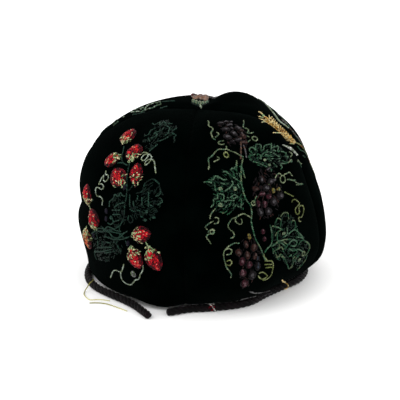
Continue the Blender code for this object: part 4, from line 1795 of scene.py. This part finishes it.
@dataclass(frozen=True)
class WheatGore:
    """The tied sheaf of wheat on the right back gore."""

    meridian: float = 116.0
    ears: tuple[WheatEar, ...] = (
        WheatEar(
            ((-36, 160.5), (-38, 158), (-43.5, 152), (-48.5, 144.5), (-51.5, 138), (-53.5, 131),
             (-54, 126.5)),
            (-6, 52), pairs=12, spread=1.35, awn=3.4,
        ),
        WheatEar(((20, 158), (8, 112)), (-3, 52)), WheatEar(((42, 140), (30, 98)), (0, 52)),
        WheatEar(((58, 112), (42, 76)), (3, 52)),
    )
    tip_strokes: tuple[Chart2D, ...] = (
        ((-26.5, 169), (-28.5, 166.5), (-32, 163.5), (-35, 161)),
        ((-33.5, 167), (-34.5, 164), (-36, 160.5)), ((-53, 158.5), (-45.5, 158.5)),
        ((-66.5, 144.5), (-62.5, 142.5), (-52.5, 140.5)), ((-59, 128), (-55, 124)),
    )
    blades: tuple[Chart2D, ...] = (
        ((4.5, 156), (1.5, 150.5), (-2, 145.5), (-16, 145.5), (-27.5, 141.5), (-37.5, 135.5),
         (-44, 125), (-44, 112), (-32, 80), (-7, 54)),
        ((-55, 121), (-56, 116.5), (-51.5, 111.5), (-46, 105)), ((-58.5, 111.5), (-57, 108)),
        ((-6, 52), (-20, 66), (-32, 70), (-37, 60)), ((5, 54), (24, 66), (46, 64), (60, 52)),
        ((2, 50), (20, 34), (44, 30)), ((-4, 50), (-20, 36), (-34, 34)),
    )
    pale_blade: Chart2D = (
        (1.5, 161.5), (3.5, 156.5), (-7, 155.5), (-19.5, 155.5), (-30.5, 152.5), (-36.5, 149),
        (-39, 144), (-40.5, 137.5),
    )
    edge_lines: tuple[Chart2D, ...] = (
        ((-42, 130.5), (-43.5, 124.5), (-43, 118), (-46, 112.5)),
        ((-30, 145.5), (-32, 142.5), (-33.5, 140)), ((-31, 147), (-33.5, 143.5), (-35, 140)),
        ((-39.5, 136), (-40, 132.5), (-42.5, 128)),
        ((-42, 125), (-42.5, 120), (-43, 114.5), (-46, 111.5)),
    )
    feet: tuple[Chart2D, ...] = (
        ((-4, 52), (-14, 34), (-22, 18)), ((-1, 52), (-5, 34), (-8, 14)),
        ((1, 52), (4, 34), (7, 13)), ((4, 52), (13, 35), (21, 18)),
    )

    def build(self, form: CrownForm, silk: bpy.types.Material) -> list[bpy.types.Object]:
        """Sews the whole sheaf.

        Args:
            form: the crown under it.
            silk: the thread's finish.

        Returns:
            The ears and the stalks.
        """
        ears = Sampler("wheat_ears", form, self.meridian, 31)
        stalks = Sampler("wheat_stalks", form, self.meridian, 32)
        for ear in self.ears:
            ear.sew(ears, stalks)
        for line in self.feet:
            stalks.stem(line, (Tone.MOSS, Tone.STRAW_BROWN), 1.4)
        for line in self.blades:
            stalks.stem(line, (Tone.TEAL_LIGHT, Tone.LEAF_LIGHT, Tone.LEAF), 1.0, stitch=2.6)
        stalks.stem(self.pale_blade, (Tone.LICHEN, Tone.SAGE_PALE, Tone.LICHEN), 1.5)
        sew_lines(stalks, self.tip_strokes, (Tone.PALE_GREEN, Tone.STRAW_PALE, Tone.CREAM), 1.2)
        sew_lines(stalks, self.edge_lines, (Tone.BARK, Tone.WEAR_AND_SHEEN_GREY, Tone.MAUVE_BROWN), 1.3)
        for level in (50.0, 52.0, 54.0):
            band = ((-8.0, level), (0.0, level - 1.2), (8.0, level))
            stalks.stem(band, (Tone.ROSE_PINK, Tone.CRIMSON), 1.6)
        return [ears.mesh(silk), stalks.mesh(silk)]


GOLDEN_ANGLE = 2.399963


@dataclass(frozen=True)
class Rose:
    """A full blown rose of curled petals about a tight heart."""

    x: float
    y: float
    radius: float
    stamens: int = 9

    def sew(self, blossoms: Sampler) -> None:
        """Sews rings of satin petals, from the outer ones in.

        Args:
            blossoms: takes the stitches.
        """
        rings = ((1.0, 7, (Tone.ROSE_PINK, Tone.PEACH, Tone.SCARLET)),
                 (0.58, 5, (Tone.CRIMSON, Tone.SCARLET, Tone.ROSE_PINK)))
        for scale, petals, tones in rings:
            for turn in np.arange(petals) * 360.0 / petals + 20.0 * scale:
                reach = self.radius * scale * 0.66
                angle = math.radians(turn)
                centre = (self.x + reach * math.cos(angle), self.y + reach * math.sin(angle))
                blossoms.satin(
                    centre, turn, self.radius * 0.66, self.radius * 0.82 * (0.6 + 0.4 * scale),
                    plain_rule(tones), pad=1.4 + 0.8 * (1 - scale), thread=0.95, stitch=4.0,
                )
        heart = plain_rule((Tone.WINE, Tone.CRIMSON))
        size = self.radius * 0.62
        blossoms.satin((self.x, self.y), 60, size, size, heart, pad=2.6, thread=0.9, stitch=3.0)
        number = np.arange(self.stamens)
        out = 0.30 * self.radius * np.sqrt(number / self.stamens)[:, None]
        spot = np.array([self.x, self.y]) + out * heading(number * GOLDEN_ANGLE)
        reach = np.array([[0.4, 0.1]])
        pale = np.repeat(Tone.CREAM.light()[None], len(spot), axis=0)
        blossoms.straight(spot - reach, spot + reach, 0.9, pale, lift=2.7)


@dataclass(frozen=True)
class RoseGore:
    """The spray of roses on the left back gore."""

    meridian: float = 211.0
    bud_petals: tuple[Berry, ...] = (
        Berry(-1.8, 32, 92, 23, 6.2), Berry(3.2, 33, 90, 21, 4.6), Berry(7.2, 32, 88, 23, 5.2),
    )
    bud_teeth: tuple[Berry, ...] = (
        Berry(-3.2, 16.5, 98, 9, 3), Berry(-0.5, 15.6, 93, 9, 3), Berry(2.4, 15.2, 90, 9, 3),
        Berry(5.2, 15.6, 87, 9, 3), Berry(7.9, 16.5, 82, 9, 3),
    )
    bud_foot: tuple[Chart2D, ...] = (
        ((-4.5, 11), (0, 7)), ((9, 11), (5, 6.5)), ((0, 11), (2, 5.5)), ((6, 11), (4.5, 6)),
        ((-5, 13), (-3, 8)), ((-2, 21), (3, 20.5)), ((4.6, 22), (5.4, 19.5)),
        ((8.6, 22), (9.4, 19)),
    )
    # Painted sheen: grey strokes where light catches the velvet beside the bud.
    bud_shine: tuple[Chart2D, ...] = (
        ((11, 35), (14.5, 31)), ((11.5, 28), (16, 24)), ((12, 22), (17, 20)),
    )
    bud_stalk: Chart2D = ((2.6, 11), (2.9, 5), (3, -1))
    roses: tuple[Rose, ...] = (Rose(-10, 118, 15), Rose(26, 84, 17), Rose(-34, 76, 14))
    leaves: tuple[Leaf, ...] = (
        Leaf(
            ((-28, 108), (-34, 106), (-42, 109), (-50, 107), (-58, 112), (-56, 119), (-48, 123),
             (-42, 122), (-35, 118)),
            (((-28, 108), (-40, 114), (-55, 115)), ((-36, 111), (-40, 119)),
             ((-42, 114), (-48, 109))),
        ),
        Leaf(
            ((40, 100), (44, 108), (43, 116), (48, 123), (56, 124), (62, 118), (61, 110),
             (54, 104), (48, 100)),
            (((40, 100), (48, 110), (58, 119)), ((46, 106), (45, 115)), ((50, 111), (58, 111))),
        ),
        Leaf(
            ((2, 46), (-6, 46), (-14, 42), (-22, 42), (-28, 34), (-24, 26), (-14, 24), (-6, 29),
             (-2, 36)),
            (((2, 46), (-9, 37), (-23, 32)), ((-4, 41), (-12, 41)), ((-9, 36), (-10, 28))),
        ),
        Leaf(
            ((12, 44), (18, 50), (28, 50), (38, 46), (44, 38), (38, 30), (28, 29), (18, 34)),
            (((12, 44), (25, 41), (40, 38)), ((20, 42), (26, 48)), ((24, 41), (30, 33))),
        ),
    )
    stems: tuple[Chart2D, ...] = (
        ((6, 22), (7, 42), (14, 62), (22, 76)), ((7, 42), (-8, 56), (-26, 68)),
        ((14, 62), (2, 84), (-6, 106)), ((-10, 130), (-6, 140), (-14, 148), (-20, 152)),
        ((-12, 112), (-28, 108)), ((28, 98), (40, 100)), ((12, 44), (7, 42), (2, 46)),
    )
    edge_leaf: tuple[Chart2D, ...] = (
        ((42, 150), (41.5, 154.5), (38.5, 157), (43, 159.5), (36.5, 159.5), (41.5, 163),
         (35.5, 163.5), (31.5, 164.5), (29, 167), (24.5, 168.5), (26.5, 172.5), (20.5, 173),
         (25.5, 177)),
        ((47, 149.5), (47, 154), (46, 156.5), (46.5, 160.5), (43, 162), (41, 165), (38.5, 167.5),
         (36.5, 170.5), (33, 172), (29.5, 174.5), (26, 177.5)),
        ((61, 132.5), (57.5, 135), (55, 137.5)), ((65.5, 134), (63, 137), (60.5, 139.5)),
        ((53, 143), (55, 144.5)), ((53.5, 144.5), (55, 142.5)),
    )
    faint_lines: tuple[Chart2D, ...] = (
        ((34, 178), (28.5, 181.5), (24.5, 184.5)), ((21, 176), (16, 181.5), (10, 187.5)),
        ((65, 119.5), (62.5, 123), (62, 128)), ((52, 152), (50, 158), (47, 164)),
    )
    tendrils: tuple[Chart2D, ...] = (
        ((-34, 90), (-46, 92), (-54, 88), (-56, 80), (-50, 78), (-49, 84)),
    )

    def build(self, form: CrownForm, silk: bpy.types.Material) -> list[bpy.types.Object]:
        """Sews the whole spray.

        Args:
            form: the crown under it.
            silk: the thread's finish.

        Returns:
            The blossoms, the bud, the leaves and the stems.
        """
        blossoms = Sampler("rose_blossoms", form, self.meridian, 41)
        for rose in self.roses:
            rose.sew(blossoms)
        top = ApexSampler("rose_bud", form, 0.0, 44)
        for petal in self.bud_petals:
            sew_shape(top, petal, bud_rule(), pad=1.0, stitch=4.0)
        teeth = plain_rule((Tone.SAGE_PALE, Tone.SAGE_PALE, Tone.SAGE, Tone.LEAF))
        for tooth in self.bud_teeth:
            sew_shape(top, tooth, teeth, pad=0.8, stitch=4.0)
        heart = plain_rule((Tone.CARMINE, Tone.WINE))
        top.satin((-3.4, 35), 90, 9, 3.8, heart, pad=0.8, ground=0.9)
        sew_lines(top, self.bud_foot, (Tone.BOTTLE, Tone.TEAL_DARK), 1.6)
        # Painted sheen beside the bud, in grey and plum.
        sew_lines(top, self.bud_shine, (Tone.WEAR_AND_SHEEN_GREY, Tone.PLUM), 1.3)
        top.stem(self.bud_stalk, (Tone.SAGE_PALE, Tone.LICHEN), 1.5)
        leaves = Sampler("rose_leaves", form, self.meridian, 42)
        for leaf in self.leaves:
            sew_leaf(leaves, leaf, LeafLook((Tone.TEAL_LIGHT, Tone.TEAL), (Tone.TEAL,)))
        stems = Sampler("rose_stems", form, self.meridian, 43)
        edge_tones = (Tone.SAGE, Tone.LICHEN, Tone.LEAF_LIGHT)
        sew_lines(leaves, self.edge_leaf, edge_tones, 1.2, smooth=False)
        sew_lines(leaves, self.faint_lines, (Tone.TEAL_LIGHT, Tone.TEAL), 1.1)
        sew_lines(stems, self.stems, (Tone.LEAF, Tone.TEAL_LIGHT), 1.3)
        sew_lines(stems, self.tendrils, (Tone.SAGE, Tone.TEAL_LIGHT), 1.0)
        return [sampler.mesh(silk) for sampler in (blossoms, top, leaves, stems)]


@dataclass(frozen=True)
class HemFrayAndSheen:
    """Threads at the hem: a broken golden loop, a red and white tuft on the cord, and grey strokes
    of painted sheen on the velvet's edge and on the cord.
    """

    meridian: float = 38.0
    gold: tuple[Chart2D, ...] = (((14, 17), (20, 12.5), (27, 8.5), (33, 5), (38, 2.5)),)
    # Painted sheen: grey strokes where light catches the velvet's turned edge.
    worn: tuple[Chart2D, ...] = (
        ((-22.5, 15.5), (-11, 10), (2, 4)), ((-23, 3), (-16, 3.5), (-5, 1.5)),
        ((-20, 13.5), (-10, 8.5), (0, 4)),
    )
    cord_gold: tuple[Chart2D, ...] = (((39.5, 11.8), (39, 8.5), (40, 5.2), (39, 3.6), (35, 4)),)
    cord_red: tuple[Chart2D, ...] = (
        ((-49, 6.2), (-44.5, 8.8)), ((-46.5, 3.2), (-43, 7.5)), ((-47, 8), (-44, 5)),
    )
    cord_white: tuple[Chart2D, ...] = (((-48, 10.5), (-45.5, 7), (-42, 2)), ((-46, 10), (-43.5, 9)))
    # Painted sheen: grey strokes where light catches the cord's strands.
    cord_sheen_streaks: tuple[Chart2D, ...] = (
        ((-18.5, 11.5), (-10.5, 11), (-2.5, 9.5)), ((-0.5, 11), (6.5, 9.5), (16.5, 7.8)),
        ((3.5, 6.5), (18, 5.5)),
    )

    def build(self, form: CrownForm, silk: bpy.types.Material) -> list[bpy.types.Object]:
        """Sews the broken threads and the painted sheen on the velvet, and lays those on the cord.

        Args:
            form: the crown under them.
            silk: the thread's finish.

        Returns:
            The threads on the velvet and the threads on the cord.
        """
        fray = Sampler("hem_fray_and_sheen", form, self.meridian, 51)
        sew_lines(fray, self.gold, (Tone.STRAW_PALE, Tone.STRAW, Tone.CREAM), 1.1)
        # Painted sheen in grey along the velvet's edge.
        sew_lines(fray, self.worn, (Tone.WEAR_AND_SHEEN_GREY, Tone.PLUM, Tone.WEAR_AND_SHEEN_GREY), 0.7)
        on_cord = Sampler("cord_fray_and_sheen", CordSkin(form, EdgeTrim()), self.meridian, 52)
        sew_lines(on_cord, self.cord_gold, (Tone.STRAW_PALE, Tone.STRAW, Tone.CREAM), 1.0)
        sew_lines(on_cord, self.cord_red, (Tone.CARMINE, Tone.WINE), 1.0)
        sew_lines(on_cord, self.cord_white, (Tone.WHITE,), 1.0)
        # Painted sheen in grey along the cord.
        sew_lines(on_cord, self.cord_sheen_streaks, (Tone.WEAR_AND_SHEEN_GREY, Tone.PLUM, Tone.MAUVE_GREY), 0.7)
        return [fray.mesh(silk), on_cord.mesh(silk)]


# Cords and threads.


def frames(path: Array) -> tuple[Array, Array]:
    """Moving frame of a path with tangent t: its level side z x t, and its upper side t x side.

    Args:
        path: (N, 3) points.

    Returns:
        Two (N, 3) arrays of unit vectors.
    """
    ahead = unit(np.gradient(path, axis=0))
    side = unit(np.cross(np.array([0.0, 0.0, 1.0]), ahead))
    return side, np.cross(ahead, side)


def tube(path: Array, around: Array, reach: Array) -> tuple[Array, list[NDArray[np.int64]]]:
    """Closed tube about a path: path + (side cos(angle) + upper side sin(angle)) reach.

    Args:
        path: (N, 3) middle line.
        around: (M,) angles of a ring's corners, in radians.
        reach: (N, M) distance of each corner from the path, or (1, 1) for all.

    Returns:
        (N M, 3) corners, and the faces of the skin and of both ends.
    """
    side, up = frames(path)
    cosine, sine = np.cos(around)[None, :, None], np.sin(around)[None, :, None]
    points = path[:, None] + (side[:, None] * cosine + up[:, None] * sine) * reach[..., None]
    count = len(around)
    near = np.arange(count)[None, ::-1]
    far = (np.arange(count) + (len(path) - 1) * count)[None]
    return points.reshape(-1, 3), [grid_faces(len(path), count, wrap=True), near, far]


@dataclass
class TwistedCord:
    """Three-strand silk cord carried along a route."""

    name: str
    route: Array
    material: bpy.types.Material
    diameter: float = 6.4
    strand: float = 2.15
    pitch: float = 15.0
    sides: int = 27
    step: float = 0.85
    end_reach: float = 0.55
    end_growth: float = 0.45
    end_length: float = 1.4

    def build(self) -> bpy.types.Object:
        """Carries the cord's three-lobed section along its route, turning as it goes.

        With h the strands' distance from the middle and s their radius, the section at angle d
        from the nearest strand is h cos(d) + sqrt(s^2 - h^2 sin(d)^2).  It turns once a pitch.
        Over end_length it grows from end_reach of this to all of it.

        Returns:
            The piece.
        """
        path = resample(self.route, self.step)
        along = np.arange(len(path)) * self.step
        around = np.linspace(0, 2 * np.pi, self.sides, endpoint=False)
        off = self.diameter / 2 - self.strand
        lay = around[None, :] - 2 * np.pi * along[:, None] / self.pitch
        from_strand = (lay + np.pi / 3) % (2 * np.pi / 3) - np.pi / 3
        aside = off * np.sin(from_strand)
        reach = off * np.cos(from_strand) + np.sqrt(self.strand**2 - aside**2)
        ends = np.clip(np.minimum(along, along[-1] - along) / self.end_length, 0, 1)
        reach = reach * (self.end_reach + self.end_growth * np.sqrt(ends))[:, None]
        points, faces = tube(path, around, reach)
        uv = np.stack(np.broadcast_arrays(along[:, None], around[None] / 2), axis=-1)
        return make_piece(self.name, points * MM, faces, self.material, uv.reshape(-1, 2))


class CordPoint(NamedTuple):
    """Where the sewn cord lies: its middle's distance outside the hem's edge."""

    azimuth: float
    outset: float


@dataclass(frozen=True)
class EdgeTrim:
    """The cord sewn under the hem, and the stretch of it that came away."""

    diameter: float = 6.4
    sewn: tuple[CordPoint, ...] = (
        CordPoint(-15.0, 8.2),
        CordPoint(-11.5, 5.2),
        CordPoint(-8.0, 2.2),
        CordPoint(-4.0, -0.2),
        CordPoint(3.0, -0.8),
        CordPoint(90.0, -0.8),
        CordPoint(180.0, -0.8),
        CordPoint(264.0, -0.8),
    )
    loose: Chart2D = (
        (-98.2, 9.8), (-99.0, 2.0), (-99.4, -6.0), (-98.9, -15.0), (-97.0, -24.5), (-93.4, -33.5),
        (-88.2, -42.0), (-81.5, -50.0), (-74.3, -57.4), (-67.2, -64.4), (-60.8, -71.4),
        (-55.3, -78.5), (-50.9, -85.8), (-47.2, -92.2), (-43.7, -98.4),
    )
    seam_gap: float = 0.3

    def plan(self, form: CrownForm, azimuth: Array) -> Array:
        """The sewn cord's distance from the axis: the hem's radius plus the cord's outset."""
        stations = [point.azimuth for point in self.sewn]
        outset = smooth_rows(azimuth, stations, [point.outset for point in self.sewn])
        return form.hem_value(azimuth, "radius") + outset

    def sewn_route(self, form: CrownForm) -> Array:
        """The sewn cord's middle line, in millimetres."""
        azimuth = np.linspace(self.sewn[0].azimuth, self.sewn[-1].azimuth, 400)
        height = np.full_like(azimuth, self.diameter / 2)
        return form.stand(azimuth, self.plan(form, azimuth), height)

    def loose_route(self) -> Array:
        """The loose cord's middle line, in millimetres, a gap clear of the sewn cord."""
        line = resample(np.array(self.loose), 1.0)
        line[0] = line[0] + (line[1] - line[0]) * self.seam_gap
        return np.concatenate([line, np.full((len(line), 1), self.diameter / 2)], axis=1)

    def build(self, form: CrownForm, silk: bpy.types.Material) -> None:
        """Args:
            form: the crown, for its hem.
            silk: the cord's finish.
        """
        sewn = TwistedCord("edge_cord_twist", self.sewn_route(form), silk).build()
        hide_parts("edge_cord")
        route = self.loose_route()
        loose = TwistedCord("loose_cord_twist", route, silk).build()
        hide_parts("loose_cord")


@dataclass(frozen=True)
class CordSkin:
    """The sewn cord's skin, for threads on it, by azimuth along it and share of the way round."""

    form: CrownForm
    trim: EdgeTrim
    reach: float = 88.0

    def length(self) -> float:
        """Length of the way round the cord, in millimetres."""
        return math.pi * self.trim.diameter

    def radius(self, share: Array) -> Array:
        """The cord's mean distance from the cap's axis, in millimetres."""
        return np.full_like(share, self.reach)

    def point(self, azimuth: Array, share: Array) -> Array:
        """Places points of the skin.

        The way round starts on the floor and rises outside: the angle is 360 share - 90 degrees,
        the plan is the cord's radius + r cos(angle), and the height is r + r sin(angle).

        Args:
            azimuth: degrees.
            share: share of the way round.

        Returns:
            (..., 3) points in millimetres.
        """
        azimuth, share = np.broadcast_arrays(azimuth, share)
        half, angle = self.trim.diameter / 2, 2 * np.pi * share - np.pi / 2
        plan = self.trim.plan(self.form, azimuth) + half * np.cos(angle)
        return self.form.stand(azimuth, plan, half + half * np.sin(angle))

    def normal(self, azimuth: Array, share: Array) -> Array:
        """Outward unit normals, from the cross product of the two small steps on the skin.

        Args:
            azimuth: degrees.
            share: share of the way round.

        Returns:
            (..., 3) unit vectors.
        """
        here = self.point(azimuth, share)
        round_step = self.point(azimuth + 0.4, share) - here
        up_step = self.point(azimuth, share + 0.01) - here
        return unit(np.cross(round_step, up_step))


@dataclass(frozen=True)
class LooseThread:
    """One yellow sewing thread, a thin tube along its route."""

    name: str
    marks: tuple[tuple[float, float, float], ...]
    diameter: float = 0.9
    sides: int = 8
    step: float = 0.8
    fade_start: float = 0.6
    fade_length: float = 20.0

    def build(self, material: bpy.types.Material) -> bpy.types.Object:
        """Args:
            material: the thread's finish.

        Returns:
            The piece.
        """
        path = resample(np.array(self.marks), self.step)
        around = np.linspace(0, 2 * np.pi, self.sides, endpoint=False)
        points, faces = tube(path, around, np.full((1, 1), self.diameter / 2))
        along = np.repeat(np.arange(len(path)) * self.step, self.sides)
        uv = np.stack([along, np.tile(np.arange(self.sides) / self.sides, len(path))], axis=-1)
        fade = np.clip(along / self.fade_length - self.fade_start, 0.0, 1.0)[:, None]
        tone = (1 - fade) * Tone.YELLOW.light() + fade * Tone.PALE_YELLOW.light()
        piece = make_piece(self.name, points * MM, faces, material, uv, tone)
        return piece


YELLOW_THREADS = (
    LooseThread("yellow_thread_outer", (
        (-92.9, -31.5, 6.95), (-93.6, -35.2, 6.95), (-95.4, -39.2, 6.9), (-97.4, -41.6, 4.4),
        (-99.2, -43.0, 1.9), (-100.0, -46.5, 0.75), (-97.9, -54.2, 0.5), (-94.0, -60.0, 0.5),
        (-88.3, -59.4, 0.5), (-82.5, -60.2, 0.5), (-77.5, -62.2, 0.5),
    )),
    LooseThread("yellow_thread_inner", (
        (-94.0, -66.6, 0.5), (-87.0, -66.2, 0.5), (-79.4, -68.6, 0.5), (-71.6, -74.7, 0.5),
        (-62.2, -82.7, 0.5),
    )),
)


# Studio.


@dataclass(frozen=True)
class Studio:
    """The pale floor, the soft light and the camera at the photograph's angle."""

    look_at: tuple[float, float, float] = (-0.005, 0.0, 0.06)
    distance: float = 1.2
    elevation: float = 20.0
    lens: float = 125.8
    shift: tuple[float, float] = (0.0075, 0.02)
    floor_size: float = 12.0
    sky: float = 1.5

    def camera(self) -> None:
        """Makes the camera, level, at its distance and elevation in front of the cap."""
        data = bpy.data.cameras.new("camera")
        data.lens = self.lens
        data.shift_x, data.shift_y = self.shift
        data.clip_end = 50.0
        camera = bpy.data.objects.new("camera", data)
        lift = math.radians(self.elevation)
        camera.location = (
            self.look_at[0],
            self.look_at[1] - self.distance * math.cos(lift),
            self.look_at[2] + self.distance * math.sin(lift),
        )
        camera.rotation_euler = (math.pi / 2 - lift, 0.0, 0.0)
        bpy.context.scene.collection.objects.link(camera)
        bpy.context.scene.camera = camera

    def floor(self) -> None:
        """Lays the plain pale floor."""
        half = self.floor_size / 2
        mesh = bpy.data.meshes.new("floor")
        corners = [(-half, -half, 0.0), (half, -half, 0.0), (half, half, 0.0), (-half, half, 0.0)]
        mesh.from_pydata(corners, [], [(0, 1, 2, 3)])
        mesh.materials.append(Paper("pale_floor", roughness=0.9, specular=0.1).make())
        floor = bpy.data.objects.new("floor", mesh)
        bpy.context.scene.collection.objects.link(floor)

    def lamp(
        self, name: str, place: tuple[float, float, float], size: float, watts: float
    ) -> None:
        """Hangs a square soft light that faces the cap.

        Args:
            name: the lamp's name.
            place: where it hangs, in metres.
            size: its side, in metres.
            watts: its power.
        """
        data = bpy.data.lights.new(name, "AREA")
        data.size, data.energy = size, watts
        lamp = bpy.data.objects.new(name, data)
        lamp.location = place
        tilt = math.atan2(math.hypot(place[0], place[1]), place[2] - self.look_at[2])
        lamp.rotation_euler = (tilt, 0.0, math.atan2(place[0], -place[1]))
        bpy.context.scene.collection.objects.link(lamp)

    def build(self) -> None:
        """Makes the camera, the floor, the lamps and the even white surroundings."""
        self.camera()
        self.floor()
        self.lamp("key_light", (-1.1, -0.9, 1.9), 1.1, 11.0)
        self.lamp("fill_light", (1.4, -1.3, 1.3), 1.6, 8.0)
        bpy.context.scene.view_settings.view_transform = "Standard"
        world = bpy.data.worlds.new("studio")
        world.use_nodes = True
        background = world.node_tree.nodes["Background"]
        background.inputs["Color"].default_value = (1.0, 1.0, 1.0, 1.0)
        background.inputs["Strength"].default_value = self.sky
        bpy.context.scene.world = world


def main() -> None:
    """Loads the frame and dresses it: camera and cords first, then velvet and embroidery."""
    logging.basicConfig(level=logging.INFO, stream=sys.stdout, format="%(name)s: %(message)s")
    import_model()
    Studio().build()
    form = CrownForm()
    silk = Thread("embroidery_silk", roughness=0.42, specular=0.06).make()
    cord_silk = CordSilk("cord_silk_dark", roughness=0.45, specular=0.06).make()
    EdgeTrim().build(form, cord_silk)
    for thread in YELLOW_THREADS:
        thread.build(silk)
    velvet = Velvet("black_velvet_pile", roughness=0.95, specular=0.0).make()
    lining = Lining("dark_lining", roughness=0.9, specular=0.1).make()
    VelvetCrown(form, velvet, lining).build()
    for gore in (StrawberryGore(), VineGore(), WheatGore(), RoseGore(), HemFrayAndSheen()):
        gore.build(form, silk)


if __name__ == "__main__":
    main()
